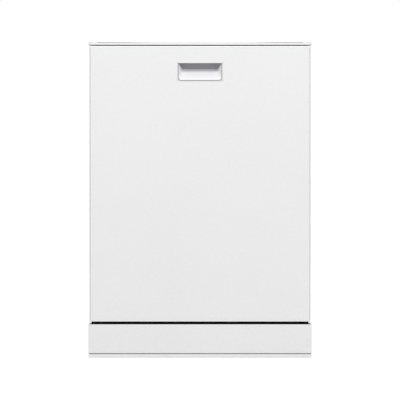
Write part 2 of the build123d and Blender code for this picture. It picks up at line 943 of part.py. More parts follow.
# Feed pipe: flat pipe up the tub's back, forward under its roof, with a dock for the upper rack
dock_z = upper_rack_floor_z - seat_gap - dock_r
pipe_back_y = tub_back_y - pipe_seat
pipe_front_y = pipe_back_y - pipe_t
pipe_top_z = tub_top_z - seat_gap
with BuildPart() as feed_pipe:
    with BuildSketch(side_plane(-pipe_w / 2)):
        with BuildLine():
            Polyline(
                (pipe_back_y, tub_floor_z),
                (pipe_back_y, pipe_top_z),
                (sump_y - pipe_w / 2, pipe_top_z),
                (sump_y - pipe_w / 2, pipe_top_z - pipe_t),
                (pipe_front_y, pipe_top_z - pipe_t),
                (pipe_front_y, tub_floor_z),
                close=True,
            )
        make_face()
    extrude(amount=pipe_w)
    fillet(
        feed_pipe.edges().filter_by(Axis.X).sort_by_distance((0, pipe_back_y, pipe_top_z))[0],
        pipe_corner_r,
    )
    fillet(
        feed_pipe.edges().filter_by(Axis.Z).sort_by_distance((0, sump_y - pipe_w, pipe_top_z))[0:2],
        pipe_w / 2 - 2,
    )
    drum(front_plane(pipe_front_y), 0, dock_z, dock_r, pipe_front_y - rack_rear_y - seat_gap)
    pin(level(tub_floor_z), 0, pipe_y, pipe_t / 2 - 1, -tub_floor_t)
    pin(level(pipe_top_z - pipe_t), 0, sump_y, spigot_r, top_arm_z - seat_gap - pipe_top_z + pipe_t)
    pin(level(top_arm_z - seat_gap), 0, sump_y, spigot_nut_r, -spigot_nut_h)
feed_pipe.part.label = "feed_pipe"
export_step(feed_pipe.part, "parts/feed_pipe.step")


# Spray arms: flat hollow blades, drawn as the hull of a hub and two tips, bored for their spigots
arms = (
    ("lower_spray_arm", lower_arm_z, lower_arm_reach, sump_tower_r + running_gap, wall),
    ("upper_spray_arm", upper_arm_z, upper_arm_reach, spigot_r, 0),
    ("top_spray_arm", top_arm_z, top_arm_reach, spigot_r, 0),
)
for name, bottom_z, reach, bore_r, cap_t in arms:
    with BuildPart() as arm:
        with BuildSketch(level(bottom_z)):
            with Locations((0, sump_y)):
                Circle(arm_hub_r)
            with Locations((-reach + arm_tip_r, sump_y), (reach - arm_tip_r, sump_y)):
                Circle(arm_tip_r)
            make_hull()
        extrude(amount=arm_t)
        if cap_t:
            drum(level(bottom_z), 0, sump_y, bore_r, arm_t - cap_t, mode=Mode.SUBTRACT)
        else:
            pin(level(bottom_z), 0, sump_y, bore_r, arm_t, mode=Mode.SUBTRACT)
    arm.part.label = name
    export_step(arm.part, f"parts/{name}.step")

# Hinge brackets: a plate each side that rises from the base and carries the pivot pin
arm_x = liner_w / 2 + hinge_gap
bracket_x = arm_x + hinge_arm_t + seat_gap
with BuildPart() as hinge_brackets:
    for side in (-1, 1):
        with BuildSketch(side_plane(side * bracket_x)):
            with BuildLine():
                Polyline(
                    (pivot_y, pivot_z + hinge_nose_r),
                    (pivot_y + hinge_bracket_d, pivot_z + hinge_nose_r),
                    (pivot_y + hinge_bracket_foot_d, base_top_z),
                    (pivot_y + hinge_bracket_foot_d / 2, base_top_z),
                    (pivot_y + hinge_bracket_d / 2, pivot_z - hinge_nose_r),
                    (pivot_y, pivot_z - hinge_nose_r),
                    close=True,
                )
            make_face()
            with Locations((pivot_y, pivot_z)):
                RegularPolygon(hinge_nose_r, 8, major_radius=False, rotation=22.5)
        extrude(amount=side * hinge_bracket_t)
        disc(
            side_plane(side * bracket_x),
            pivot_y,
            pivot_z,
            hinge_pin_r + running_gap,
            side * hinge_bracket_t,
            mode=Mode.SUBTRACT,
        )
hinge_brackets.part.label = "hinge_brackets"
export_step(hinge_brackets.part, "parts/hinge_brackets.step")

# Hinge arms: screwed to the door's sides, each with its pin and a tail that pulls on the spring
tail_y = pivot_y + hinge_tail
tail_z = pivot_z - hinge_tail
with BuildPart() as hinge_arms:
    for side in (-1, 1):
        with BuildSketch(side_plane(side * arm_x)):
            with BuildLine():
                Polyline(
                    (pivot_y - arm_front, pivot_z + hinge_arm_rise),
                    (pivot_y + arm_back, pivot_z + hinge_arm_rise),
                    (pivot_y + hinge_pin_r + arm_web, pivot_z + hinge_pin_r),
                    (tail_y + arm_web, tail_z + arm_web),
                    (tail_y, tail_z),
                    (tail_y - arm_web, tail_z - arm_web),
                    (pivot_y - hinge_pin_r - arm_web, pivot_z - hinge_pin_r - arm_web),
                    (pivot_y - arm_front, pivot_z + hinge_tail),
                    close=True,
                )
            make_face()
        extrude(amount=side * hinge_arm_t)
        disc(
            side_plane(side * arm_x),
            pivot_y,
            pivot_z,
            hinge_pin_r,
            side * (hinge_arm_t + seat_gap + hinge_bracket_t),
        )
hinge_arms.part.label = "hinge_arms"
export_step(hinge_arms.part, "parts/hinge_arms.step")

# Door springs: a coil each side along the base, with a link to the tail of the hinge arm
spring_x = arm_x + hinge_arm_t / 2
spring_front_y = pivot_y + spring_behind_pivot
with BuildPart() as door_springs:
    for side in (-1, 1):
        pin(front_plane(spring_front_y), side * spring_x, spring_z, spring_r, -spring_length)
        with BuildSketch(side_plane(side * (spring_x - hinge_rope_w / 2))):
            with BuildLine():
                Polyline(
                    (tail_y + seat_gap, tail_z - seat_gap),
                    (tail_y + 3 * hinge_rope_w, tail_z - seat_gap),
                    (spring_front_y, spring_z + hinge_rope_w),
                    (spring_front_y, spring_z - hinge_rope_w),
                    close=True,
                )
            make_face()
        extrude(amount=side * hinge_rope_w)
door_springs.part.label = "door_springs"
export_step(door_springs.part, "parts/door_springs.step")

# Latch striker: a bracket on the tub roof with a tongue that reaches into the door
striker_tip_y = inner_face_y - striker_reach
striker_plate_z = tub_top_z + sheet + seat_gap
striker_front_y = tub_mouth_y + sheet + seat_gap
with BuildPart() as latch_striker:
    box(
        -striker_plate_w / 2,
        striker_plate_w / 2,
        striker_front_y,
        striker_front_y + striker_plate_d,
        striker_plate_z,
        striker_plate_z + wall,
    )
    box(
        -striker_w / 2,
        striker_w / 2,
        striker_front_y,
        striker_front_y + striker_t,
        striker_plate_z + wall,
        striker_z + striker_t,
    )
    box(
        -striker_w / 2,
        striker_w / 2,
        striker_tip_y,
        striker_front_y,
        striker_z,
        striker_z + striker_t,
    )
latch_striker.part.label = "latch_striker"
export_step(latch_striker.part, "parts/latch_striker.step")

# Door skin: painted pan open to the back, holed for the pocket handle
pocket_top_z = door_top_z - pocket_drop
pocket_mid_z = pocket_top_z - pocket_h / 2
with BuildPart() as door_outer_panel:
    with BuildSketch(front_plane(skin_y)):
        with Locations((0, door_mid_z)):
            Rectangle(door_w, door_h)
    extrude(amount=-door_return)
    fillet(door_outer_panel.faces().sort_by(Axis.Y)[0].edges(), door_edge_r)
    offset(amount=-sheet, openings=door_outer_panel.faces().sort_by(Axis.Y)[-1])
    inside = door_w / 2 - sheet
    for return_depth, z0 in ((door_top_return, door_top_z - sheet), (door_bottom_return, door_bottom_z)):
        box(-inside, inside, skin_y + return_depth, door_back_y, z0, z0 + sheet, mode=Mode.SUBTRACT)
    with BuildSketch(front_plane(skin_y)):
        with Locations((0, pocket_mid_z)):
            RectangleRounded(
                pocket_w + 2 * pocket_wall + 2 * seat_gap,
                pocket_h + 2 * pocket_wall + 2 * seat_gap,
                pocket_corner,
            )
    extrude(amount=-sheet, mode=Mode.SUBTRACT)
door_outer_panel.part.label = "door_outer_panel"
export_step(door_outer_panel.part, "parts/door_outer_panel.step")


def pocket_cup(front, grow):
    """The tapered cup of the finger pocket, grown by a wall."""
    floor_y = front_y + pocket_depth + grow
    floor_mid_z = pocket_top_z - pocket_top_drop - pocket_back_h / 2
    mouth = ring(
        lambda x, z: (x, front, pocket_mid_z + z), pocket_w + 2 * grow, pocket_h + 2 * grow, pocket_corner
    )
    floor = ring(
        lambda x, z: (x, floor_y, floor_mid_z + z),
        pocket_back_w + 2 * grow,
        pocket_back_h + 2 * grow,
        pocket_corner,
    )
    return frustum(mouth, floor)


# Pocket handle: cup that is deep at the top where the fingers hook in, with a thin rim
with BuildPart() as handle_pocket:
    add(pocket_cup(skin_y, pocket_wall))
    with BuildSketch(front_plane(front_y)):
        with Locations((0, pocket_mid_z)):
            RectangleRounded(
                pocket_w + 2 * pocket_wall + 2 * pocket_rim,
                pocket_h + 2 * pocket_wall + 2 * pocket_rim,
                pocket_corner + pocket_rim,
            )
    extrude(amount=front_y - skin_y)
    add(pocket_cup(front_y, 0), mode=Mode.SUBTRACT)
handle_pocket.part.label = "handle_pocket"
export_step(handle_pocket.part, "parts/handle_pocket.step")

# Door liner: stainless pan in three steps, with an opening for the dispenser
with BuildPart() as door_inner_panel:
    rim_mid_z = (liner_rim_start_z + liner_top_z) / 2
    with BuildSketch(front_plane(rim_face_y)):
        with Locations((0, rim_mid_z)):
            Rectangle(liner_rim_w, liner_top_z - liner_rim_start_z)
    extrude(amount=liner_rim_depth)
    with BuildSketch(front_plane(gasket_face_y)):
        with Locations((0, (liner_bottom_z + liner_top_z) / 2)):
            Rectangle(liner_w, liner_top_z - liner_bottom_z)
    extrude(amount=gasket_face_y - rim_face_y + liner_rim_depth)
    with BuildSketch(front_plane(gasket_face_y)):
        arch(liner_face_w / 2, liner_face_top_z, tub_corner_r, liner_bottom_z)
    extrude(amount=gasket_face_y - inner_face_y)
    offset(amount=-sheet, openings=door_inner_panel.faces().sort_by(Axis.Y)[0], kind=Kind.INTERSECTION)
    with BuildSketch(front_plane(inner_face_y)):
        with Locations((dispenser_x, dispenser_z)):
            Rectangle(
                dispenser_w - 2 * dispenser_rim + 2 * seat_gap,
                dispenser_h - 2 * dispenser_rim + 2 * seat_gap,
            )
    extrude(amount=sheet, mode=Mode.SUBTRACT)
    box(
        -latch_w / 2 - seat_gap,
        latch_w / 2 + seat_gap,
        rim_face_y - liner_rim_depth,
        gasket_face_y - sheet,
        liner_top_z - sheet,
        liner_top_z,
        mode=Mode.SUBTRACT,
    )
door_inner_panel.part.label = "door_inner_panel"
export_step(door_inner_panel.part, "parts/door_inner_panel.step")

# Control strip: moulding along the door's top edge, holed for the buttons and the striker
strip_front_y = skin_y + door_top_return + seat_gap
strip_top_z = door_top_z - strip_drop
strip_step_y = rim_face_y
strip_w = liner_rim_w
button_y = front_y + button_back
button_left_x = button_left_inset - door_w / 2
button_last_x = door_w / 2 - button_right_inset
button_first_x = button_last_x - button_pitch * (button_right_count - 1)
button_xs = [button_left_x] + span(button_first_x, button_last_x, button_right_count)
strip_back_y = gasket_face_y + strip_wall
with BuildPart() as control_strip:
    box(-strip_w / 2, strip_w / 2, strip_front_y, strip_step_y, strip_top_z - strip_wall, strip_top_z)
    box(-liner_w / 2, liner_w / 2, strip_front_y, strip_back_y, strip_top_z - strip_wall, strip_top_z)
    box(
        -liner_w / 2,
        liner_w / 2,
        strip_back_y - strip_wall,
        strip_back_y,
        liner_top_z + seat_gap,
        strip_top_z,
    )
    for side in (-1, 1):
        x = side * strip_w / 2
        box(x, x - side * strip_wall, strip_front_y, strip_step_y, liner_top_z + seat_gap, strip_top_z)
        x = side * liner_w / 2
        box(x, x - side * strip_wall, strip_step_y, strip_back_y, liner_top_z + seat_gap, strip_top_z)
    with BuildSketch(level(strip_top_z)):
        with Locations(*[(x, button_y) for x in button_xs]):
            Rectangle(button_w + 2 * button_gap, button_d + 2 * button_gap)
    extrude(amount=-strip_wall, mode=Mode.SUBTRACT)
    with BuildSketch(front_plane(strip_back_y)):
        with Locations((0, striker_z + striker_t / 2)):
            Rectangle(latch_slot_w, striker_t + 2 * wall)
    extrude(amount=strip_wall, mode=Mode.SUBTRACT)
control_strip.part.label = "control_strip"
export_step(control_strip.part, "parts/control_strip.step")

# Buttons: four caps with a collar that keeps them under the strip
button_top_z = strip_top_z + button_proud
for number, x in enumerate(button_xs, start=1):
    with BuildPart() as button:
        with BuildSketch(level(button_top_z - button_h)):
            with Locations((x, button_y)):
                Rectangle(button_w, button_d)
        extrude(amount=button_h)
        chamfer(button.faces().sort_by(Axis.Z)[-1].edges(), button_edge)
        with BuildSketch(level(strip_top_z - strip_wall - seat_gap)):
            with Locations((x, button_y)):
                Rectangle(button_w + 2 * button_collar, button_d + 2 * button_collar)
        extrude(amount=-button_collar_h)
    button.part.label = f"button_{number}"
    export_step(button.part, f"parts/button_{number}.step")

# Control board: carrier tray with the circuit board and a switch under each button
switch_top_z = button_top_z - button_h - switch_room
board_top_z = switch_top_z - switch_h
board_back_y = strip_back_y - strip_wall - seat_gap
board_front_y = button_y - button_d
board_ends = (
    (button_left_x - board_reach, button_left_x + board_reach),
    (button_first_x - board_reach, button_last_x + board_reach),
)
with BuildPart() as control_board:
    for x0, x1 in board_ends:
        box(x0, x1, board_front_y, button_y + button_d, board_top_z - board_t, board_top_z)
        box(x0, x1, button_y + button_d, board_back_y, board_top_z - board_rail_t, board_top_z)
    for x in button_xs:
        box(
            x - switch_w / 2,
            x + switch_w / 2,
            button_y - switch_w / 2,
            button_y + switch_w / 2,
            board_top_z,
            switch_top_z,
        )
control_board.part.label = "control_board"
export_step(control_board.part, "parts/control_board.step")

# Latch body: housing under the strip, open to the back for the striker
latch_top_z = strip_top_z - strip_wall - seat_gap
latch_front_y = skin_y + door_top_return + sheet
latch_back_y = gasket_face_y - sheet - seat_gap
hook_pivot_z = striker_z - hook_drop
latch_bottom_z = hook_pivot_z - latch_slot_w
hook_pivot_y = latch_back_y - hook_reach - wall
with BuildPart() as latch_body:
    box(-latch_w / 2, latch_w / 2, latch_front_y, latch_back_y, latch_bottom_z, latch_top_z)
    box(
        -latch_slot_w / 2,
        latch_slot_w / 2,
        latch_front_y + wall,
        latch_back_y,
        latch_bottom_z + wall,
        striker_z + striker_t + wall,
        mode=Mode.SUBTRACT,
    )
    pin(side_plane(-latch_slot_w / 2), hook_pivot_y, hook_pivot_z, latch_pin_r, latch_slot_w)
latch_body.part.label = "latch_body"
export_step(latch_body.part, "parts/latch_body.step")

# Latch hook: sprung lever on the latch pin, its nose just under the striker's tongue
hook_nose_y = hook_pivot_y + hook_reach
with BuildPart() as latch_hook:
    with BuildSketch(side_plane(-hook_t / 2)):
        with BuildLine():
            Polyline(
                (hook_pivot_y - 4, hook_pivot_z - 4),
                (hook_nose_y - 2, hook_pivot_z - 2),
                (hook_nose_y, striker_z - 4),
                (hook_nose_y - 3, striker_z - seat_gap),
                (hook_nose_y - 6, striker_z - 4),
                (hook_pivot_y + 3, hook_pivot_z + 4),
                (hook_pivot_y - 4, hook_pivot_z + 4),
                close=True,
            )
        make_face()
    extrude(amount=hook_t)
    pin(side_plane(-hook_t / 2), hook_pivot_y, hook_pivot_z, latch_pin_r, hook_t, mode=Mode.SUBTRACT)
latch_hook.part.label = "latch_hook"
export_step(latch_hook.part, "parts/latch_hook.step")

# Dispenser body: moulding in the liner with a detergent cup and the rinse aid well
rim_y = inner_face_y + dispenser_rim_h
cup_x = dispenser_x - cup_shift
cap_x = dispenser_x + cap_shift
cup_z = dispenser_z + cup_z_shift
with BuildPart() as dispenser_body:
    with BuildSketch(front_plane(rim_y)):
        with Locations((dispenser_x, dispenser_z)):
            RectangleRounded(dispenser_w, dispenser_h, dispenser_corner_r)
    extrude(amount=dispenser_rim_h)
    with BuildSketch(front_plane(inner_face_y)):
        with Locations((dispenser_x, dispenser_z)):
            Rectangle(dispenser_w - 2 * dispenser_rim, dispenser_h - 2 * dispenser_rim)
    extrude(amount=dispenser_body_depth)
    with BuildSketch(front_plane(rim_y)):
        with Locations((cup_x, cup_z)):
            RectangleRounded(cup_w, cup_h, cup_corner_r)
    extrude(amount=cup_depth, mode=Mode.SUBTRACT)
    drum(front_plane(rim_y), cap_x, cup_z, cap_plug_r + running_gap, 2 * cap_plug_h, mode=Mode.SUBTRACT)
dispenser_body.part.label = "dispenser_body"
export_step(dispenser_body.part, "parts/dispenser_body.step")

# Dispenser lid: slides down off the detergent cup
lid_y = rim_y + seat_gap + lid_t
with BuildPart() as dispenser_lid:
    with BuildSketch(front_plane(lid_y)):
        with Locations((cup_x, cup_z)):
            RectangleRounded(cup_w + 2 * lid_lap, cup_h + 2 * lid_lap, cup_corner_r)
    extrude(amount=lid_t)
    with BuildSketch(front_plane(lid_y + lid_grip_t)):
        with Locations((cup_x, cup_z + cup_h / 2 - cup_corner_r)):
            Rectangle(lid_grip_w, lid_grip_h)
    extrude(amount=lid_grip_t)
dispenser_lid.part.label = "dispenser_lid"
export_step(dispenser_lid.part, "parts/dispenser_lid.step")

# Rinse aid cap: round cap with a grip bar, a quarter turn to open
cap_face_y = rim_y + seat_gap + cap_h - cap_grip_t
with BuildPart() as rinse_aid_cap:
    drum(front_plane(cap_face_y), cap_x, cup_z, cap_r, cap_h - cap_grip_t)
    drum(front_plane(rim_y + seat_gap), cap_x, cup_z, cap_plug_r, cap_plug_h)
    with BuildSketch(front_plane(cap_face_y + cap_grip_t)):
        with Locations((cap_x, cup_z)):
            Rectangle(2 * cap_plug_r, cap_plug_h)
    extrude(amount=cap_grip_t)
rinse_aid_cap.part.label = "rinse_aid_cap"
export_step(rinse_aid_cap.part, "parts/rinse_aid_cap.step")

# Lower door seal: rubber strip on the liner that meets the tub threshold
with BuildPart() as door_lower_seal:
    box(
        -liner_face_w / 2 + lower_seal_inset,
        liner_face_w / 2 - lower_seal_inset,
        inner_face_y,
        inner_face_y + lower_seal_t,
        pivot_z + lower_seal_rise,
        pivot_z + lower_seal_rise + lower_seal_h,
    )
    chamfer(door_lower_seal.edges().filter_by(Axis.X).group_by(Axis.Y)[-1], lower_seal_edge)
door_lower_seal.part.label = "door_lower_seal"
export_step(door_lower_seal.part, "parts/door_lower_seal.step")


# Racks
def grille_floor(half_w, floor_z, cross_ys, long_xs):
    """The rack's floor mat: wires across, with wires front to back laid on them."""
    inside_front = rack_front_y + wire + seat_gap
    inside_rear = rack_rear_y - wire - seat_gap
    inside_half = half_w - wire - seat_gap
    add_wires(side_plane(-inside_half), [(y, floor_z + wire / 2) for y in cross_ys], wire, 2 * inside_half)
    add_wires(
        front_plane(inside_front),
        [(x, floor_z + 1.5 * wire) for x in long_xs],
        wire,
        inside_front - inside_rear,
    )


def grille_side(side, half_w, floor_z, heights, cross_ys):
    """One side fence: uprights with horizontal wires on their outside."""
    top_z = heights[-1]
    x = side * (half_w - wire / 2)
    add_wires(level(floor_z), [(x, y) for y in cross_ys], wire, top_z - floor_z)
    for z in heights:
        across = rim_wire if z == top_z else wire
        out_x = x + side * (wire / 2 + across / 2)
        add_wires(front_plane(rack_front_y), [(out_x, z)], across, rack_front_y - rack_rear_y)


def grille_end(end_y, inward, half_w, floor_z, heights, long_xs):
    """The front or rear fence: uprights with horizontal wires on their inside."""
    top_z = heights[-1]
    y = end_y + inward * wire / 2
    add_wires(level(floor_z), [(x, y) for x in long_xs], wire, top_z - floor_z)
    start = half_w - wire - seat_gap
    for z in heights:
        across = rim_wire if z == top_z else wire
        in_y = y + inward * (wire / 2 + across / 2)
        add_wires(side_plane(-start), [(in_y, z)], across, 2 * start)


rack_cross_ys = span(rack_front_y + cross_wire_inset, rack_rear_y - cross_wire_inset, cross_wire_count)
lower_rack_half_w = tub_half - lower_rack_side_gap
lower_rack_floor_z = threshold_z + lower_rack_floor_rise
lower_long_reach = lower_rack_half_w - long_wire_inset
lower_long_xs = span(-lower_long_reach, lower_long_reach, long_wire_count)
lower_heights = [lower_rack_floor_z + rise for rise in (lower_rack_mid_rise, lower_rack_rim_rise)]
wheel_z = threshold_z + seat_gap + wheel_r
wheel_ys = (rack_front_y + wheel_front_inset, rack_rear_y - wheel_rear_inset)
wheel_inner_x = lower_rack_half_w + wheel_side_gap
with BuildPart() as lower_rack:
    grille_floor(lower_rack_half_w, lower_rack_floor_z, rack_cross_ys, lower_long_xs)
    for side in (-1, 1):
        grille_side(side, lower_rack_half_w, lower_rack_floor_z, lower_heights, rack_cross_ys)
        carrier_x = side * (lower_rack_half_w - wire / 2)
        add_wires(
            front_plane(wheel_ys[0] - wheel_r),
            [(carrier_x, wheel_z)],
            carrier_bar,
            wheel_ys[0] - wheel_ys[-1] - 2 * wheel_r,
        )
        add_wires(
            level(wheel_z),
            [(carrier_x, y) for y in rack_cross_ys[1::2]],
            wire,
            lower_rack_floor_z - seat_gap - wheel_z,
        )
        for y in wheel_ys:
            start = carrier_x + side * carrier_bar / 2
            axle_end = side * (wheel_inner_x + wheel_w + seat_gap)
            shoulder_end = side * (wheel_inner_x - seat_gap)
            pin(side_plane(start), y, wheel_z, wheel_axle_r, axle_end - start)
            pin(side_plane(start), y, wheel_z, wheel_head_r, shoulder_end - start)
            pin(side_plane(axle_end), y, wheel_z, wheel_head_r, side * wheel_head_t)
    grille_end(rack_front_y, 1, lower_rack_half_w, lower_rack_floor_z, lower_heights, lower_long_xs)
    grille_end(rack_rear_y, -1, lower_rack_half_w, lower_rack_floor_z, lower_heights, lower_long_xs)
lower_rack.part.label = "lower_rack"
export_step(lower_rack.part, "parts/lower_rack.step")

# Lower rack wheels: a left and a right wheel on one line make each pair
for number, y in enumerate(wheel_ys, start=1):
    with BuildPart() as wheel_pair:
        for side in (-1, 1):
            start = side_plane(side * wheel_inner_x)
            drum(start, y, wheel_z, wheel_r, side * wheel_w)
            pin(start, y, wheel_z, wheel_axle_r, side * wheel_w, mode=Mode.SUBTRACT)
    wheel_pair.part.label = f"lower_wheels_{number}"
    export_step(wheel_pair.part, f"parts/lower_wheels_{number}.step")

# Upper rack
upper_rack_half_w = tub_half - upper_rack_side_gap
upper_long_reach = upper_rack_half_w - long_wire_inset
upper_long_xs = span(-upper_long_reach, upper_long_reach, long_wire_count)
upper_heights = [upper_rack_floor_z + rise for rise in (upper_rack_mid_rise, upper_rack_rim_rise)]
rack_wheel_ys = [rack_rear_y - inset for inset in rack_wheel_insets]
rack_wheel_inner_x = rail_inner_x + rack_wheel_gap
with BuildPart() as upper_rack:
    grille_floor(upper_rack_half_w, upper_rack_floor_z, rack_cross_ys, upper_long_xs)
    for side in (-1, 1):
        grille_side(side, upper_rack_half_w, upper_rack_floor_z, upper_heights, rack_cross_ys)
        plate_x = side * (upper_rack_half_w + wire + seat_gap)
        box(
            plate_x,
            plate_x + side * rack_plate_t,
            rack_wheel_ys[0] - rack_plate_end,
            rack_wheel_ys[-1] + rack_plate_end,
            rail_z - rack_plate_half_h,
            rail_z + rack_plate_half_h,
        )
        for y in rack_wheel_ys:
            plate_out = plate_x + side * rack_plate_t
            axle_end = side * (rack_wheel_inner_x + roller_w + seat_gap)
            pin(side_plane(plate_out), y, rail_z, roller_axle_r, axle_end - plate_out)
            pin(side_plane(axle_end), y, rail_z, roller_axle_r + roller_head, side * roller_head_t)
    grille_end(rack_front_y, 1, upper_rack_half_w, upper_rack_floor_z, upper_heights, upper_long_xs)
    grille_end(rack_rear_y, -1, upper_rack_half_w, upper_rack_floor_z, upper_heights, upper_long_xs)
upper_rack.part.label = "upper_rack"
export_step(upper_rack.part, "parts/upper_rack.step")

# Upper rack wheels, in pairs
for place, y in zip(("front", "rear"), rack_wheel_ys):
    with BuildPart() as wheel_pair:
        for side in (-1, 1):
            start = side_plane(side * rack_wheel_inner_x)
            drum(start, y, rail_z, roller_r, side * roller_w)
            pin(start, y, rail_z, roller_axle_r, side * roller_w, mode=Mode.SUBTRACT)
    wheel_pair.part.label = f"upper_wheels_{place}"
    export_step(wheel_pair.part, f"parts/upper_wheels_{place}.step")

# Upper rails: channelled both ways, so that they run on the tub's rollers and carry the rack's wheels
rail_half_h = roller_r + seat_gap
with BuildPart() as upper_rails:
    for side in (-1, 1):
        with BuildSketch(front_plane(rail_front_y)):
            with Locations((side * (rail_inner_x + rail_outer_x) / 2, rail_z)):
                Rectangle(rail_outer_x - rail_inner_x, 2 * (rail_half_h + rail_t))
                Rectangle(rail_outer_x - rail_inner_x, 2 * rail_half_h, mode=Mode.SUBTRACT)
            with Locations((side * (rail_web_x + rail_t / 2), rail_z)):
                Rectangle(rail_t, 2 * rail_half_h)
        extrude(amount=-rail_length)
upper_rails.part.label = "upper_rails"
export_step(upper_rails.part, "parts/upper_rails.step")

# Rollers on the tub's studs, in pairs
roller_inner_x = rail_web_x + rail_t + 2 * seat_gap
for place, y in zip(("front", "rear"), rail_roller_ys):
    with BuildPart() as roller_pair:
        for side in (-1, 1):
            start = side_plane(side * roller_inner_x)
            drum(start, y, rail_z, roller_r, side * roller_w)
            pin(start, y, rail_z, roller_axle_r, side * roller_w, mode=Mode.SUBTRACT)
    roller_pair.part.label = f"rail_rollers_{place}"
    export_step(roller_pair.part, f"parts/rail_rollers_{place}.step")

# Rack feed tube: from the dock at the back, under the rack, to the arm's spigot and nut
tube_bottom_z = dock_z - dock_r / 2
tube_top_z = upper_rack_floor_z - seat_gap
with BuildPart() as rack_feed_tube:
    box(-dock_r, dock_r, sump_y - dock_r, rack_rear_y - wall, tube_bottom_z, tube_top_z)
    drum(front_plane(rack_rear_y), 0, dock_z, dock_r, 2 * wire)
    pin(level(tube_bottom_z), 0, sump_y, spigot_r, upper_arm_z - seat_gap - tube_bottom_z)
    pin(level(upper_arm_z - seat_gap), 0, sump_y, spigot_nut_r, -spigot_nut_h)
rack_feed_tube.part.label = "rack_feed_tube"
export_step(rack_feed_tube.part, "parts/rack_feed_tube.step")

# Fold-down tine rows
tine_rod_z = lower_rack_floor_z + 2 * wire + seat_gap + tine_rod / 2
tine_base_z = tine_rod_z + tine_rod / 2 + seat_gap
tine_row_ys = [rack_rear_y - inset for inset in tine_row_insets]
for place, y in zip(("front", "rear"), tine_row_ys):
    with BuildPart() as tine_row:
        row_half = tine_pitch * (tine_count - 1) / 2
        pin(side_plane(-row_half - tine_rod_end), y, tine_rod_z, tine_rod / 2, 2 * (row_half + tine_rod_end))
        add_wires(level(tine_base_z), [(x, y) for x in span(-row_half, row_half, tine_count)], tine, tine_h)
    tine_row.part.label = f"tine_row_{place}"
    export_step(tine_row.part, f"parts/tine_row_{place}.step")

# Cutlery basket: slotted bin with a handle bridge
basket_z = lower_rack_floor_z + 2 * wire + seat_gap
basket_x = lower_rack_half_w - basket_side_inset
basket_front_y = rack_front_y + basket_front_gap
basket_mid_y = basket_front_y + basket_d / 2
with BuildPart() as cutlery_basket:
    with BuildSketch(level(basket_z)):
        with Locations((basket_x, basket_mid_y)):
            RectangleRounded(basket_w, basket_d, basket_corner_r)
    extrude(amount=basket_h)
    offset(amount=-basket_wall, openings=cutlery_basket.faces().sort_by(Axis.Z)[-1], kind=Kind.INTERSECTION)
    with BuildSketch(side_plane(basket_x - basket_w / 2)):
        with Locations((basket_mid_y, basket_z + basket_h / 2 - basket_wall)):
            with GridLocations(basket_d / (basket_slot_count + 1), 0, basket_slot_count, 1):
                Rectangle(basket_slot_w, basket_slot_h)
    extrude(amount=basket_w, mode=Mode.SUBTRACT)
    box(
        basket_x - basket_divider_t / 2,
        basket_x + basket_divider_t / 2,
        basket_front_y + basket_wall / 2,
        basket_front_y + basket_d - basket_wall / 2,
        basket_z + basket_wall / 2,
        basket_z + basket_h,
    )
    with BuildSketch(side_plane(basket_x - basket_divider_t / 2)):
        with Locations((basket_mid_y, basket_z + basket_h + basket_handle_h / 2)):
            Rectangle(basket_handle_w, basket_handle_h)
        with Locations((basket_mid_y, basket_z + basket_h + (basket_handle_h - basket_handle_bar) / 2)):
            Rectangle(
                basket_handle_w - 2 * basket_handle_bar,
                basket_handle_h - basket_handle_bar,
                mode=Mode.SUBTRACT,
            )
    extrude(amount=basket_divider_t)
cutlery_basket.part.label = "cutlery_basket"
export_step(cutlery_basket.part, "parts/cutlery_basket.step")

# Cup shelf: grille that folds up on a rod over the upper rack's left rim
shelf_rod_x = -(upper_rack_half_w + wire / 2)
shelf_rod_z = upper_heights[-1] + rim_wire / 2 + seat_gap + wire / 2
shelf_front_y = rack_front_y + shelf_front_inset
shelf_back_y = rack_rear_y - shelf_rear_inset
with BuildPart() as cup_shelf:
    pin(front_plane(shelf_front_y), shelf_rod_x, shelf_rod_z, wire / 2, shelf_front_y - shelf_back_y)
    add_wires(
        front_plane(shelf_front_y),
        [(shelf_rod_x + reach, shelf_rod_z) for reach in (shelf_w / 2, shelf_w)],
        wire,
        shelf_front_y - shelf_back_y,
    )
    shelf_wire_ys = span(shelf_front_y + shelf_wire_inset, shelf_back_y - shelf_wire_inset, shelf_wire_count)
    add_wires(side_plane(shelf_rod_x), [(y, shelf_rod_z) for y in shelf_wire_ys], wire, shelf_w)
cup_shelf.part.label = "cup_shelf"
export_step(cup_shelf.part, "parts/cup_shelf.step")
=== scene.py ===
"""Looks of the dishwasher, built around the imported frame. Metres, +Z up, the front faces -Y."""

import json
import math

import bmesh
import bpy
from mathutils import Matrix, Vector


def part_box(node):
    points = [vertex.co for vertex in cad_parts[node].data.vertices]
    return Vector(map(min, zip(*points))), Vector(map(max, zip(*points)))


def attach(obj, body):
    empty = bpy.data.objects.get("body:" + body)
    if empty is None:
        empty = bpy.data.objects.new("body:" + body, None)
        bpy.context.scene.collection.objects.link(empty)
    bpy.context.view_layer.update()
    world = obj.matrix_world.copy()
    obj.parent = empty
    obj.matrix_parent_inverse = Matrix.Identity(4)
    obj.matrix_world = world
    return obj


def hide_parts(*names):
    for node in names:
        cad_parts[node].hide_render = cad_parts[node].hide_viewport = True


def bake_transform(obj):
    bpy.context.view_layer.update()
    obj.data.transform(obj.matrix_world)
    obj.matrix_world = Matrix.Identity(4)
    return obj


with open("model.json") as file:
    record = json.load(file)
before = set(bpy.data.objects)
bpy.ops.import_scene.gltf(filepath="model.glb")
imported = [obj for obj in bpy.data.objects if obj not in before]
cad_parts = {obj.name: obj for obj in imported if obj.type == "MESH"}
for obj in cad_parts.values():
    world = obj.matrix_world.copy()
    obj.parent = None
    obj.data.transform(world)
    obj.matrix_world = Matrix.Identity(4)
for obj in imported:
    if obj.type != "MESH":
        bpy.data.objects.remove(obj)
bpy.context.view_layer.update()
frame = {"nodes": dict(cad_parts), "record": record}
scene = bpy.context.scene

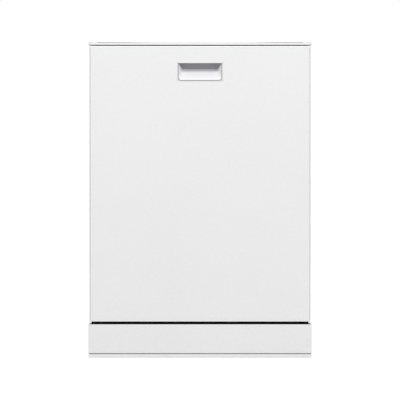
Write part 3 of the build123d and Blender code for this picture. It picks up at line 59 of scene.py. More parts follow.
# Camera at the photograph's place: level, in front of the machine's middle
view_angle = math.radians(15.30)
camera_away, camera_z = 4.3, 0.425
camera_data = bpy.data.cameras.new("camera")
camera_data.sensor_fit = "HORIZONTAL"
camera_data.angle = view_angle
camera = bpy.data.objects.new("camera", camera_data)
camera.location = (0, -camera_away, camera_z)
camera.rotation_euler = (math.radians(90), 0, 0)
scene.collection.objects.link(camera)
scene.camera = camera
scene.view_settings.view_transform = "Standard"


# Light
def area_light(name, place, target, size, power):
    data = bpy.data.lights.new(name, "AREA")
    data.shape = "SQUARE"
    data.size = size
    data.energy = power
    light = bpy.data.objects.new(name, data)
    light.location = place
    light.rotation_euler = (Vector(target) - Vector(place)).to_track_quat("-Z", "Y").to_euler()
    scene.collection.objects.link(light)


area_light("key", place=(0.1, -3.2, 3.3), target=(0, -0.1, 0.75), size=2.2, power=75)
area_light("rim", place=(0.4, 3.4, 2.9), target=(0, 0, 0.5), size=2.4, power=42)


def add_node(tree, kind, *inputs, **named):
    """A shader node with its inputs in their order or by name, each a value or a socket."""
    node = tree.nodes.new("ShaderNode" + kind)
    by_name = [(name.replace("_", " "), value) for name, value in named.items()]
    for key, value in [*enumerate(inputs), *by_name]:
        if isinstance(value, bpy.types.NodeSocket):
            tree.links.new(value, node.inputs[key])
        else:
            node.inputs[key].default_value = value
    return node


def calc(tree, operation, *values):
    node = add_node(tree, "Math", *values)
    node.operation = operation
    return node.outputs[0]


def white_rays(tree):
    """1 for the rays that see the background white: the camera's, mirrored and refracted ones."""
    path = add_node(tree, "LightPath")
    total = path.outputs["Is Camera Ray"]
    for kind in ("Is Glossy Ray", "Is Transmission Ray"):
        total = calc(tree, "MAXIMUM", total, path.outputs[kind])
    return total


def surface_by_ray(tree, out_kind, plain, seen):
    """Ends a tree with the shader that the white rays see, and the plain one for all others."""
    either = add_node(tree, "MixShader", white_rays(tree), plain.outputs[0], seen.outputs[0])
    add_node(tree, out_kind, Surface=either.outputs[0])


ambient = 0.6
world = bpy.data.worlds.new("world")
world.use_nodes = True
scene.world = world
world_tree = world.node_tree
world_tree.nodes.clear()
surface_by_ray(
    world_tree, "OutputWorld",
    plain=add_node(world_tree, "Background", Color=(1, 1, 1, 1), Strength=ambient),
    seen=add_node(world_tree, "Background", Color=(1, 1, 1, 1)))


# Materials
def new_tree(name):
    made = bpy.data.materials.new(name)
    made.use_nodes = True
    made.node_tree.nodes.clear()
    return made, made.node_tree


def mix_colour(tree, fac, low, high):
    """Colour that goes from low to high with fac, each a colour or a socket."""
    mix = add_node(tree, "Mix")
    mix.data_type = "RGBA"
    tree.links.new(fac, mix.inputs["Factor"])
    for value, socket in ((low, mix.inputs["A"]), (high, mix.inputs["B"])):
        if isinstance(value, bpy.types.NodeSocket):
            tree.links.new(value, socket)
        else:
            socket.default_value = (*value, 1)
    return mix.outputs["Result"]


def own_place(tree):
    """The object's own coordinates."""
    return add_node(tree, "TexCoord").outputs["Object"]


def own_axes(tree):
    """The object's own coordinates as X, Y and Z."""
    return add_node(tree, "SeparateXYZ", own_place(tree)).outputs


def noise(tree, scale, stretch=(1, 1, 1), detail=3):
    """Noise from 0 to 1."""
    place = add_node(tree, "Mapping", Vector=own_place(tree), Scale=stretch).outputs["Vector"]
    return add_node(tree, "TexNoise", Vector=place, Scale=scale, Detail=detail).outputs["Fac"]


def to_range(tree, value, low, high, start=0.3, end=0.7):
    """Value mapped from start..end to low..high, and held at both ends."""
    mapped = add_node(
        tree, "MapRange", Value=value, From_Min=start, From_Max=end, To_Min=low, To_Max=high)
    return mapped.outputs["Result"]


def cells(tree, pitch, randomness=0.0, output="Distance"):
    """Distance to the nearest of a set of points about pitch apart, or the cell's own colour."""
    texture = add_node(
        tree, "TexVoronoi", Vector=own_place(tree), Scale=1 / pitch, Randomness=randomness)
    return texture.outputs[output]


def bump(tree, height, depth, **before):
    return add_node(
        tree, "Bump", Strength=1, Distance=depth, Height=height, **before).outputs["Normal"]


looks = {}


def finish(name, low, high, rough, blotch, grain, relief, stretch=(1, 1, 1), extra=None, **sockets):
    """A look whose colour drifts from low to high, and whose roughness and relief have a grain."""
    made, tree = new_tree(name)
    drift = to_range(tree, noise(tree, blotch, stretch), 0, 1)
    fine = noise(tree, grain, stretch, 2)
    colour = mix_colour(tree, drift, low, high)
    normal = bump(tree, fine, relief)
    if extra:
        colour, normal = extra(tree, colour, normal)
    shader = add_node(
        tree, "BsdfPrincipled", Base_Color=colour, Roughness=to_range(tree, fine, *rough),
        Normal=normal, **sockets)
    add_node(tree, "OutputMaterial", Surface=shader.outputs[0])
    looks[name] = made


def holed(pitch, hole, dark):
    """Round holes on a square grid, painted dark as the shade inside them, with a dip in the
    relief. The hole's radius is a share of the pitch.
    """
    soft_edge, hollow = 1.15, 0.0004

    def add(tree, colour, normal):
        solid = to_range(tree, cells(tree, pitch), 0, 1, hole, hole * soft_edge)
        return mix_colour(tree, solid, dark, colour), bump(tree, solid, hollow, Normal=normal)
    return add


def spangle(tree, colour, normal):
    """The crystal flowers of zinc."""
    flower, strongest = 0.011, 0.35
    tone = to_range(tree, cells(tree, flower, 1.0, "Color"), 0, strongest, 0, 1)
    return mix_colour(tree, tone, colour, (0.36, 0.37, 0.38)), normal


def traces(tree, colour, normal):
    """Copper lines under the green coat of a circuit board."""
    bricks = add_node(tree, "TexBrick", Vector=own_place(tree), Scale=260, Mortar_Size=0.08)
    line = bricks.outputs["Fac"]
    raised_line = bump(tree, line, 0.0001, Normal=normal)
    return mix_colour(tree, line, colour, (0.16, 0.42, 0.14)), raised_line


brushed = (0.02, 0.02, 1)
finish("white_enamel", (0.862, 0.862, 0.866), (0.878, 0.878, 0.882), (0.24, 0.30), 3, 420, 0.00002,
       Coat_Weight=0.15, Coat_Roughness=0.1, Specular_IOR_Level=0.4)
finish("white_plastic", (0.862, 0.862, 0.86), (0.88, 0.88, 0.878), (0.36, 0.46), 5, 2200, 0.00003)
finish("handle_plastic", (0.80, 0.80, 0.80), (0.83, 0.83, 0.83), (0.42, 0.52), 20, 2600, 0.00004)
finish("stainless", (0.60, 0.60, 0.605), (0.68, 0.68, 0.68), (0.24, 0.38), 40, 1500, 0.00002,
       brushed, Metallic=1)
finish("galvanised", (0.48, 0.49, 0.50), (0.56, 0.57, 0.58), (0.34, 0.5), 30, 500, 0.00002,
       extra=spangle, Metallic=0.9)
finish("spring_steel", (0.42, 0.42, 0.43), (0.54, 0.54, 0.55), (0.28, 0.42), 120, 1200, 0.00002,
       Metallic=1)
finish("grey_rubber", (0.045, 0.045, 0.047), (0.06, 0.06, 0.062), (0.6, 0.78), 25, 1800, 0.00005)
finish("black_plastic", (0.006, 0.006, 0.0065), (0.012, 0.012, 0.013), (0.4, 0.56), 15, 1500,
       0.00006, Specular_IOR_Level=0.3)
finish("grey_plastic", (0.25, 0.26, 0.27), (0.29, 0.30, 0.31), (0.38, 0.5), 15, 1500, 0.00005)
finish("light_plastic", (0.60, 0.61, 0.62), (0.65, 0.66, 0.67), (0.34, 0.46), 12, 1800, 0.00004)
finish("blue_plastic", (0.012, 0.05, 0.25), (0.02, 0.065, 0.30), (0.3, 0.4), 20, 1800, 0.00003)
finish("rack_nylon", (0.40, 0.42, 0.44), (0.47, 0.49, 0.51), (0.3, 0.42), 30, 500, 0.00012)
finish("board_green", (0.01, 0.075, 0.03), (0.015, 0.1, 0.04), (0.25, 0.35), 30, 900, 0.00002,
       extra=traces)
finish("hose_rubber", (0.014, 0.014, 0.014), (0.024, 0.024, 0.024), (0.5, 0.66), 30, 1600, 0.00005)


def painted_hollow_shade(tree, colour, normal):
    """Painted shade in the hollow's upper part, under the top lip where the fingers hook in: darker
    above a sloping line.
    """
    slope, light_end, dark_start = 0.42, 0.6635, 0.6659
    axes = own_axes(tree)
    height = calc(tree, "MULTIPLY_ADD", axes["Y"], slope, axes["Z"])
    dark = to_range(tree, height, 0, 1, light_end, dark_start)
    return mix_colour(tree, dark, colour, (0.39, 0.382, 0.415)), normal


# The cup's plastic: a little lighter than the rim's, as painted light against the hollow's shade,
# with painted shade in its upper part
finish("pocket_plastic_painted_light_and_shade", (0.89, 0.886, 0.90), (0.91, 0.906, 0.92), (0.42, 0.52), 20, 2600, 0.00004,
       extra=painted_hollow_shade)
# Dark grey painted into the groove round the cup's mouth as the shade in it
finish("groove_painted_shade", (0.14, 0.14, 0.142), (0.17, 0.17, 0.172), (0.5, 0.6), 30, 2600, 0.00004)
finish("fine_mesh", (0.5, 0.51, 0.52), (0.58, 0.59, 0.6), (0.3, 0.4), 12, 1800, 0.00003,
       extra=holed(0.0022, 0.42, (0.03, 0.03, 0.03)))
finish("strainer", (0.60, 0.60, 0.605), (0.68, 0.68, 0.68), (0.26, 0.4), 40, 1500, 0.00002, brushed,
       extra=holed(0.0035, 0.36, (0.02, 0.02, 0.02)), Metallic=1)

slots = {row["node"]: row["material_slot"] for row in frame["record"]["subparts"]}
node_looks = {"filter_plate": "strainer", "filter_cylinder": "fine_mesh"}
for name, obj in frame["nodes"].items():
    obj.data.materials.clear()
    obj.data.materials.append(looks[node_looks.get(name, slots[name])])


# Meshes
class Shape:
    """A mesh in the making: rings of points that are joined, with a material number per face."""

    def __init__(self):
        self.bm = bmesh.new()

    def ring(self, points):
        return [self.bm.verts.new(p) for p in points]

    def face(self, verts, material=0):
        made = self.bm.faces.new(verts)
        made.material_index = material

    def join(self, a, b, material=0):
        for i in range(len(a)):
            self.face((a[i - 1], a[i], b[i], b[i - 1]), material)

    def loft(self, rings, material=0, caps=True, closed=False):
        """Joins rings of points in their order, with a cap on each end or closed on itself."""
        made = [self.ring(points) for points in rings]
        for a, b in zip(made, made[1:]):
            self.join(a, b, material)
        if closed:
            self.join(made[-1], made[0], material)
        elif caps:
            self.face(list(reversed(made[0])), material)
            self.face(made[-1], material)
        return made

    def piece(self, name, body, material_slot, replaced=(), look_names=(), sharp=35):
        bmesh.ops.recalc_face_normals(self.bm, faces=self.bm.faces)
        mesh = bpy.data.meshes.new(name)
        self.bm.to_mesh(mesh)
        self.bm.free()
        for look in look_names or [material_slot]:
            mesh.materials.append(looks[look])
        mesh.polygons.foreach_set("use_smooth", [True] * len(mesh.polygons))
        mesh.set_sharp_from_angle(angle=math.radians(sharp))
        obj = bpy.data.objects.new(name, mesh)
        scene.collection.objects.link(obj)
        if body:
            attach(obj, body)
        if replaced:
            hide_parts(*replaced)
        return obj


def spread(start, end, count):
    return [start + (end - start) * i / (count - 1) for i in range(count)]


def circle(centre, u, v, r, sides):
    """Points on a circle about centre, in the plane of u and v."""
    steps = [2 * math.pi * i / sides for i in range(sides)]
    return [Vector(centre) + r * (math.cos(a) * Vector(u) + math.sin(a) * Vector(v)) for a in steps]


def bent(points, r, steps=5, closed=False):
    """A path with an arc of radius r at each of its corners."""
    points = [Vector(p) for p in points]
    made = []
    for i, corner in enumerate(points):
        if not closed and i in (0, len(points) - 1):
            made.append(corner)
            continue
        back = points[i - 1] - corner
        on = points[(i + 1) % len(points)] - corner
        angle = back.angle(on)
        reach = min(r / math.tan(angle / 2), back.length / 2, on.length / 2)
        start = corner + back.normalized() * reach
        end = corner + on.normalized() * reach
        inward = (back.normalized() + on.normalized()).normalized()
        middle = corner + inward * (reach / math.cos(angle / 2))
        arc_start = start - middle
        arc_end = end - middle
        turn = arc_start.angle(arc_end)
        for k in range(steps + 1):
            a = turn * k / steps
            arm = (math.sin(turn - a) * arc_start + math.sin(a) * arc_end) / math.sin(turn)
            made.append(middle + arm)
    return made


def end_cap(ring, outward, angles, sides):
    """Rings that round a tube's end, at angles from its last ring."""
    point, u, v, radius = ring
    made = []
    for a in map(math.radians, angles):
        made.append(
            circle(point + outward * radius * math.sin(a), u, v, radius * math.cos(a), sides))
    return made


def tube(shape, path, r, sides=8, closed=False, profile=None, round_ends=False):
    """A tube of radius r, or of the radius that profile gives for a distance, along a path."""
    count = len(path)
    tangents = []
    for i in range(count):
        before = path[i - 1] if i or closed else path[0]
        after = path[(i + 1) % count] if i < count - 1 or closed else path[-1]
        tangents.append((after - before).normalized())
    side = tangents[0].orthogonal().normalized()
    rings = []
    run = 0
    for i, point in enumerate(path):
        if i:
            side = (side - side.dot(tangents[i]) * tangents[i]).normalized()
            run += (point - path[i - 1]).length
        up = tangents[i].cross(side)
        rings.append((point, side, up, profile(run) if profile else r))
    loft = [circle(point, u, v, radius, sides) for point, u, v, radius in rings]
    if round_ends:
        first = end_cap(rings[0], -tangents[0], (75, 45, 20), sides)
        last = end_cap(rings[-1], tangents[-1], (20, 45, 75), sides)
        loft = first + loft + last
    shape.loft(loft, closed=closed)


least_r = 0.00005


def lathe(shape, centre, axis, profile, sides=28, material=0, closed=False):
    """A turned form: profile lists (distance along axis, radius), from end to end or as a ring."""
    axis = Vector(axis)
    u = axis.orthogonal().normalized()
    v = axis.cross(u)
    rings = [circle(Vector(centre) + axis * d, u, v, max(r, least_r), sides) for d, r in profile]
    shape.loft(rings, material, closed=closed)


def rounded_box(shape, low, high, r, axis=2, steps=3, material=0):
    """A box whose long edges along an axis are rounded and whose ends are eased."""
    low, high = Vector(low), Vector(high)
    a, b = [i for i in range(3) if i != axis]
    mid = (low + high) / 2
    half = (high - low) / 2
    ease = r * 0.45
    rings = []
    ends = ((low[axis], ease), (low[axis] + ease, 0), (high[axis] - ease, 0), (high[axis], ease))
    for place, inset in ends:
        ring = []
        for quarter in range(4):
            sign_a = 1 if quarter in (0, 3) else -1
            sign_b = 1 if quarter in (0, 1) else -1
            for k in range(steps + 1):
                angle = math.pi / 2 * (quarter + k / steps)
                point = Vector((0, 0, 0))
                point[axis] = place
                point[a] = mid[a] + sign_a * (half[a] - r) + (r - inset) * math.cos(angle)
                point[b] = mid[b] + sign_b * (half[b] - r) + (r - inset) * math.sin(angle)
                ring.append(point)
        rings.append(ring)
    shape.loft(rings, material)


def rounded_rectangle(w, h, top_r, low_r, steps=6):
    """Corner by corner points of a rounded rectangle about the middle, as (x, z)."""
    points = []
    for quarter in range(4):
        r = top_r if quarter in (0, 1) else low_r
        cx = (w / 2 - r) * (1 if quarter in (0, 3) else -1)
        cz = (h / 2 - r) * (1 if quarter in (0, 1) else -1)
        for k in range(steps + 1):
            angle = math.pi / 2 * (quarter + k / steps)
            points.append((cx + r * math.cos(angle), cz + r * math.sin(angle)))
    return points


def sweep_x(shape, section, start, end, count):
    """A section of (y, z) points along x."""
    shape.loft([[(x, y, z) for y, z in section] for x in spread(start, end, count)])


def bar(shape, low, high, r=0.0006, material=0):
    """A thin moulded bar along its longest side, with eased edges."""
    axis = max(range(3), key=lambda i: high[i] - low[i])
    rounded_box(shape, low, high, r, axis, 1, material)


# Finger pocket: rim, groove, and a cup whose floor climbs to a ledge under the painted shade at the
# hollow's top
pocket_low, pocket_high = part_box("handle_pocket")
front_y = pocket_low.y
pocket_mid_z = (pocket_low.z + pocket_high.z) / 2
pocket_w = pocket_high.x - pocket_low.x
pocket_h = pocket_high.z - pocket_low.z
mouth_w, mouth_half_h = 0.1155, 0.0226
mouth_low_z, mouth_top_z = pocket_mid_z - mouth_half_h, pocket_mid_z + mouth_half_h
back_w = 0.095
back_low_z, back_top_z = mouth_top_z - 0.0180, mouth_top_z - 0.0014
pocket_depth = 0.029
floor_share = 0.78  # of the depth, over which the floor climbs
cup_wall, cup_back_wall = 0.001, 0.0014
rim_back_h = 0.0502
groove_w, groove_floor_w, groove_depth = 0.1194, 0.1160, 0.0014
groove_under, groove_over = 0.0022, 0.0006


def pocket_ring(y, w, z0, z1, top_r, low_r):
    mid_z = (z0 + z1) / 2
    return [(x, y, mid_z + z) for x, z in rounded_rectangle(w, z1 - z0, top_r, low_r)]


def flat_ring(y, w, h, r):
    return pocket_ring(y, w, pocket_mid_z - h / 2, pocket_mid_z + h / 2, r, r)


def pocket_step(share, ease=0.0):
    """A ring of the cup at a share of its depth, a little smaller by ease."""
    w = mouth_w + (back_w - mouth_w) * share - ease
    z0 = mouth_low_z + (back_low_z - mouth_low_z) * min(1, share / floor_share) + ease / 2
    z1 = mouth_top_z + (back_top_z - mouth_top_z) * share - ease / 2
    return pocket_ring(front_y + pocket_depth * share, w, z0, z1, 0.0022, 0.0072 - 0.002 * share)


pocket = Shape()
outer = [
    pocket_ring(
        front_y + pocket_depth + cup_back_wall, back_w + 2 * cup_wall, back_low_z - cup_wall,
        back_top_z + cup_wall, 0.003, 0.006),
    flat_ring(front_y + 0.0012, mouth_w + 0.008, rim_back_h, 0.008),
    flat_ring(front_y + 0.0006, pocket_w, pocket_h, 0.010),
    flat_ring(front_y + 0.0002, pocket_w - 0.0002, pocket_h - 0.0002, 0.0099),
    flat_ring(front_y, pocket_w - 0.001, pocket_h - 0.001, 0.0095),
    pocket_ring(
        front_y, groove_w, mouth_low_z - groove_under, mouth_top_z + groove_over, 0.0030, 0.0085),
]
made = pocket.loft(outer, caps=False)
groove = pocket.ring(pocket_ring(
    front_y + groove_depth, groove_floor_w, mouth_low_z, mouth_top_z, 0.0022, 0.0072))
pocket.join(made[-1], groove, 1)
inner = [pocket.ring(pocket_step(share)) for share in (0.08, 0.3, 0.6, 0.74, 0.82, 0.94)]
back_rings = [pocket.ring(pocket_step(0.98, 0.0012)), pocket.ring(pocket_step(1.0, 0.004))]
for first, second in zip([groove] + inner + back_rings, inner + back_rings):
    pocket.join(first, second, 2)
pocket.face(back_rings[-1], 2)
pocket.face(list(reversed(made[0])))
pocket.piece(
    "pocket_cup", "door", "handle_plastic", ["handle_pocket"],
    look_names=["white_plastic", "groove_painted_shade", "pocket_plastic_painted_light_and_shade"], sharp=50)

# Caps at the door's lower corners, which close the ends of the gap over the kick plate
door_low, door_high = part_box("door_outer_panel")
cap_out_x, cap_in_x = door_high.x - 0.0003, door_high.x - 0.0060
cap_drop = 0.0053
caps = Shape()
for side in (-1, 1):
    x0, x1 = sorted((side * cap_out_x, side * cap_in_x))
    low = (x0, door_low.y + 0.0008, door_low.z - cap_drop)
    high = (x1, door_low.y + 0.0070, door_low.z + 0.0030)
    rounded_box(caps, low, high, 0.0008, axis=0)
caps.piece("door_corner_caps", "door", "white_plastic")

# Hem under the door's rounded lower edge, between the caps
hem_drop = 0.0004
hem = Shape()
hem_low = (-cap_in_x, door_low.y + 0.0001, door_low.z - hem_drop)
hem_high = (cap_in_x, door_low.y + 0.0055, door_low.z + 0.0034)
rounded_box(hem, hem_low, hem_high, 0.0006, axis=0)
hem.piece("door_lower_hem", "door", "white_enamel")

# Painted shade lines: grey strips along the door's side edges, where its rounded edges turn away,
# and a grey line along the worktop's top front edge
finish("edge_shade_grey", (0.37, 0.37, 0.372), (0.42, 0.42, 0.422), (0.5, 0.6), 30, 2600, 0.00002)


def painted_edge_light(tree, colour, normal):
    """Painted light: the line is lighter towards the middle of the front, where the light falls on
    the edge.
    """
    full_light_x, full_shade_x = 0.13, 0.20
    pale = to_range(tree, calc(tree, "ABSOLUTE", own_axes(tree)["X"]), 1, 0, full_light_x, full_shade_x)
    return mix_colour(tree, pale, colour, (0.86, 0.86, 0.86)), normal


finish("top_edge_shade_grey", (0.30, 0.30, 0.302), (0.34, 0.34, 0.342), (0.5, 0.6), 30, 2600, 0.00002,
       extra=painted_edge_light)
proud = 0.00005
# Grey strips on the door's front at its side edges: painted shade of the rounded edges
edge_shade_in_x, edge_shade_out_x, edge_shade_end = 0.2944, 0.2953, 0.004
edge_shade_back_y, edge_shade_front_y = door_low.y + 0.0003, door_low.y - proud
edge_shade_strips = Shape()
for side in (-1, 1):
    x0, x1 = side * edge_shade_in_x, side * edge_shade_out_x
    edge_shade_strips.loft([
        [(x0, edge_shade_back_y, z), (x0, edge_shade_front_y, z), (x1, edge_shade_front_y, z), (x1, edge_shade_back_y, z)]
        for z in spread(door_low.z + edge_shade_end, door_high.z - edge_shade_end, 9)])
edge_shade_strips.piece("door_edge_painted_shade", "door", "white_enamel", look_names=["edge_shade_grey"])
# A grey line on the worktop's top front edge: painted shade, pale in the middle as painted light
top_line_half_w, top_line_low_z, top_line_high_z = 0.277, 0.8472, 0.8486
top_front_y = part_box("worktop")[0].y
top_edge_line = Shape()
section = [
    (top_front_y + 0.0006, top_line_low_z - 0.0001), (top_front_y - proud, top_line_low_z),
    (top_front_y - proud, top_line_high_z), (top_front_y + 0.0006, top_line_high_z + 0.0001)]
sweep_x(top_edge_line, section, -top_line_half_w, top_line_half_w, 41)
top_edge_line.piece("worktop_edge_painted_shade", "cabinet", "white_plastic", look_names=["top_edge_shade_grey"])

# Racks: round wires that turn up at the fences, rims, wheel carriers and axles
wire_r = 0.002
rim_r = 0.0028
rack_front_y, rack_rear_y = -0.240, 0.238
cross_count, long_count = 13, 12
first_y, first_x = 0.026, 0.030  # from the rack's edge to its first wire
wire_bend, rim_bend = 0.014, 0.028
sunk = 0.0003  # how deep rims sit in the fences' wires


def straight(shape, start, end, r, sides=8, round_ends=False):
    tube(shape, [Vector(start), Vector(end)], r, sides, round_ends=round_ends)


def rack_body(shape, half_w, floor_z, mid_z, rim_z):
    side_x = half_w - wire_r
    for y in spread(rack_front_y + first_y, rack_rear_y - first_y, cross_count):
        low = floor_z + wire_r
        path = [(-side_x, y, rim_z), (-side_x, y, low), (side_x, y, low), (side_x, y, rim_z)]
        tube(shape, bent(path, wire_bend), wire_r)
    for x in spread(first_x - half_w, half_w - first_x, long_count):
        low = floor_z + 3 * wire_r
        y0, y1 = rack_front_y + wire_r, rack_rear_y - wire_r
        path = [(x, y0, rim_z), (x, y0, low), (x, y1, low), (x, y1, rim_z)]
        tube(shape, bent(path, wire_bend), wire_r)
    for z, r in ((mid_z, wire_r), (rim_z, rim_r)):
        out_x = side_x + wire_r + r - sunk
        y0 = rack_front_y + 2 * wire_r + r - sunk
        y1 = rack_rear_y - 2 * wire_r - r + sunk
        corners = [(-out_x, y0, z), (out_x, y0, z), (out_x, y1, z), (-out_x, y1, z)]
        tube(shape, bent(corners, rim_bend, 8, closed=True), r, 10, closed=True)


lower_half_w, lower_floor_z, lower_mid_z, lower_rim_z = 0.241, 0.208, 0.262, 0.322
wheel_ys, post_ys = (-0.165, 0.165), (-0.143, -0.001, 0.141)
wheel_x, wheel_z, wheel_r, wheel_w = 0.250, 0.1663, 0.019, 0.012
rack = Shape()
rack_body(rack, lower_half_w, lower_floor_z, lower_mid_z, lower_rim_z)
for side in (-1, 1):
    bar_x = side * (lower_half_w - wire_r)
    bar_start = (bar_x, wheel_ys[0] - wheel_r, wheel_z)
    straight(rack, bar_start, (bar_x, wheel_ys[1] + wheel_r, wheel_z), 0.003, 10, True)
    for y in post_ys:
        straight(rack, (bar_x, y, wheel_z), (bar_x, y, lower_floor_z + 0.0005), wire_r)
    for y in wheel_ys:
        start_x = bar_x + side * 0.001
        shoulder = wheel_x - abs(start_x) - 0.0005
        reach = wheel_x + wheel_w - abs(start_x)
        lathe(rack, (start_x, y, wheel_z), (side, 0, 0), [
            (0, 0), (0, 0.008), (shoulder, 0.008), (shoulder, 0.0047), (reach + 0.0003, 0.0047),
            (reach + 0.0003, 0.0075), (reach + 0.0015, 0.0075), (reach + 0.0021, 0.006),
            (reach + 0.0021, 0)])
rack.piece("lower_rack_wires", "lower_rack", "rack_nylon", ["lower_rack"])

upper_half_w, upper_floor_z, upper_mid_z, upper_rim_z = 0.228, 0.470, 0.520, 0.588
rail_z = 0.545
rack_wheel_ys = (0.0, 0.180)
rack_wheel_x, roller_r, roller_w = 0.248, 0.009, 0.006
plate_gap, plate_w, plate_end, plate_half_h = 0.0043, 0.004, 0.014, 0.008
rack = Shape()
rack_body(rack, upper_half_w, upper_floor_z, upper_mid_z, upper_rim_z)
for side in (-1, 1):
    plate_in = side * (upper_half_w + plate_gap)
    plate_out = plate_in + side * plate_w
    x0, x1 = sorted((plate_in, plate_out))
    low = (x0, rack_wheel_ys[0] - plate_end, rail_z - plate_half_h)
    high = (x1, rack_wheel_ys[1] + plate_end, rail_z + plate_half_h)
    rounded_box(rack, low, high, 0.006, axis=0, steps=5)
    for y in rack_wheel_ys:
        reach = rack_wheel_x + roller_w + 0.0003 - abs(plate_out)
        lathe(rack, (plate_out, y, rail_z), (side, 0, 0), [
            (0, 0), (0, 0.0029), (reach, 0.0029), (reach, 0.0044), (reach + 0.0006, 0.0044),
            (reach + 0.001, 0.0035), (reach + 0.001, 0)], 20)
    for screw_y in (0.035, 0.145):
        lathe(rack, (plate_out - side * 0.0002, screw_y, rail_z), (side, 0, 0), [
            (0, 0), (0, 0.004), (0.0007, 0.0038), (0.0011, 0.0028), (0.0011, 0)], 16)
rack.piece("upper_rack_wires", "upper_rack", "rack_nylon", ["upper_rack"])


# Wheels and rollers: turned, with dished faces and a fine groove round the tread
def wheel_pair(name, inner_x, y, z, r, w, bore_r, groove):
    shape = Shape()
    hub_r = bore_r + 0.0022
    rim = r - min(0.0035, r * 0.2)
    dish = w * 0.28
    edge = w * 0.12
    for side in (-1, 1):
        profile = [
            (0, bore_r), (0, hub_r), (dish, hub_r + 0.0006), (dish, rim - 0.0008), (0.0002, rim),
            (0, r - edge), (edge, r), (w / 2 - 0.0008, r), (w / 2, r - groove), (w / 2 + 0.0008, r),
            (w - edge, r), (w, r - edge), (w - 0.0002, rim), (w - dish, rim - 0.0008),
            (w - dish, hub_r + 0.0006), (w, hub_r), (w, bore_r)]
        lathe(shape, (side * inner_x, y, z), (side, 0, 0), profile, 32, closed=True)
    shape.piece(name + "_turned", name, slots[name], [name])


for number, y in enumerate(wheel_ys, start=1):
    wheel_pair(f"lower_wheels_{number}", wheel_x, y, wheel_z, wheel_r, wheel_w, 0.0051, 0.0003)
stud_x, stud_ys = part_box("rail_rollers_front")[1].x - roller_w, (-0.228, -0.090)
for kind, x, ys in (
        ("upper_wheels", rack_wheel_x, rack_wheel_ys), ("rail_rollers", stud_x, stud_ys)):
    for place, y in zip(("front", "rear"), ys):
        wheel_pair(f"{kind}_{place}", x, y, rail_z, roller_r, roller_w, 0.0031, 0.0002)

# Fold-down tines, on a rod each
rod_half_w, tine_z, tine_top_z, tine_pitch = 0.2095, 0.2188, 0.2938, 0.037
tine_ys = (0.070, 0.160)
for place, y in zip(("front", "rear"), tine_ys):
    row = Shape()
    straight(row, (-rod_half_w, y, tine_z), (rod_half_w, y, tine_z), 0.0025, 10)
    for i in range(12):
        x = 0.006 - rod_half_w + tine_pitch * i
        straight(row, (x, y, tine_z), (x, y, tine_top_z), 0.0018, round_ends=True)
    row.piece(f"tines_{place}", f"tine_row_{place}", "rack_nylon", [f"tine_row_{place}"])

# Cup shelf: a bent frame with cross wires, on its rod
shelf = Shape()
rod_x, rod_z, rod_end = -0.230, 0.5931, 0.012
shelf_w, shelf_front_y, shelf_rear_y = 0.092, -0.158, 0.118
frame_r, cross_r = 0.002, 0.0017
rod_start = (rod_x, shelf_front_y - rod_end, rod_z)
straight(shelf, rod_start, (rod_x, shelf_rear_y + rod_end, rod_z), frame_r, 10)
loop = [(rod_x, shelf_front_y, rod_z), (rod_x + shelf_w, shelf_front_y, rod_z),
        (rod_x + shelf_w, shelf_rear_y, rod_z), (rod_x, shelf_rear_y, rod_z)]
tube(shelf, bent(loop, 0.016, 6), frame_r, 10)
for y in spread(shelf_front_y, shelf_rear_y, 8)[1:-1]:
    straight(shelf, (rod_x, y, rod_z), (rod_x + shelf_w, y, rod_z), cross_r)
middle_x = rod_x + shelf_w / 2
straight(shelf, (middle_x, shelf_front_y, rod_z), (middle_x, shelf_rear_y, rod_z), cross_r)
shelf.piece("cup_shelf_wires", "cup_shelf", "rack_nylon", ["cup_shelf"])

# Spray arms: hollow blades with rounded backs, a hub cap and jets
hub_y = 0.010


def spray_arm(name, bottom_z, reach, jets, cap_up):
    shape = Shape()
    half_t = 0.006
    mid_z = bottom_z + half_t
    hub_half, tip_half = 0.022, 0.013
    power_y, power_z = 0.7, 0.55  # below 1, which squares the oval
    sections = []
    for share in spread(-1, 1, 41):
        x = share * reach
        half = hub_half + (tip_half - hub_half) * min(1, abs(x) / (reach - tip_half))
        past = abs(x) - (reach - tip_half)
        if past > 0:
            half = max(0.0008, math.sqrt(max(tip_half ** 2 - past ** 2, 0)))
        thick = half_t * min(1, 0.35 + half / tip_half)
        ring = []
        for k in range(20):
            a = 2 * math.pi * k / 20
            c, s = math.cos(a), math.sin(a)
            ring.append((x, hub_y + half * math.copysign(abs(c) ** power_y, c),
                         mid_z + thick * math.copysign(abs(s) ** power_z, s)))
        sections.append(ring)
    shape.loft(sections)
    top_z = bottom_z + 2 * half_t
    for x, offset in jets:
        lathe(shape, (x, hub_y + offset, top_z - 0.0011), (0, 0, 1), [
            (0, 0), (0, 0.0038), (0.0009, 0.0034), (0.001, 0.0022), (0.0004, 0.0018),
            (0.0004, 0)], 14)
    if cap_up:
        lathe(shape, (0, hub_y, top_z - 0.001), (0, 0, 1), [
            (0, 0), (0, 0.019), (0.0008, 0.0185), (0.001, 0.017), (0.001, 0)])
    shape.piece(name + "_blade", name, "grey_plastic", [name], sharp=30)


jet_offset = 0.004
for name in ("lower_spray_arm", "upper_spray_arm", "top_spray_arm"):
    low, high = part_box(name)
    jets = []
    for i, share in enumerate((0.28, 0.42, 0.56, 0.7, 0.82, 0.92)):
        offset = jet_offset * (-1) ** i
        jets += [(share * high.x, offset), (-share * high.x, -offset)]
    spray_arm(name, low.z, high.x, jets, cap_up=name != "top_spray_arm")

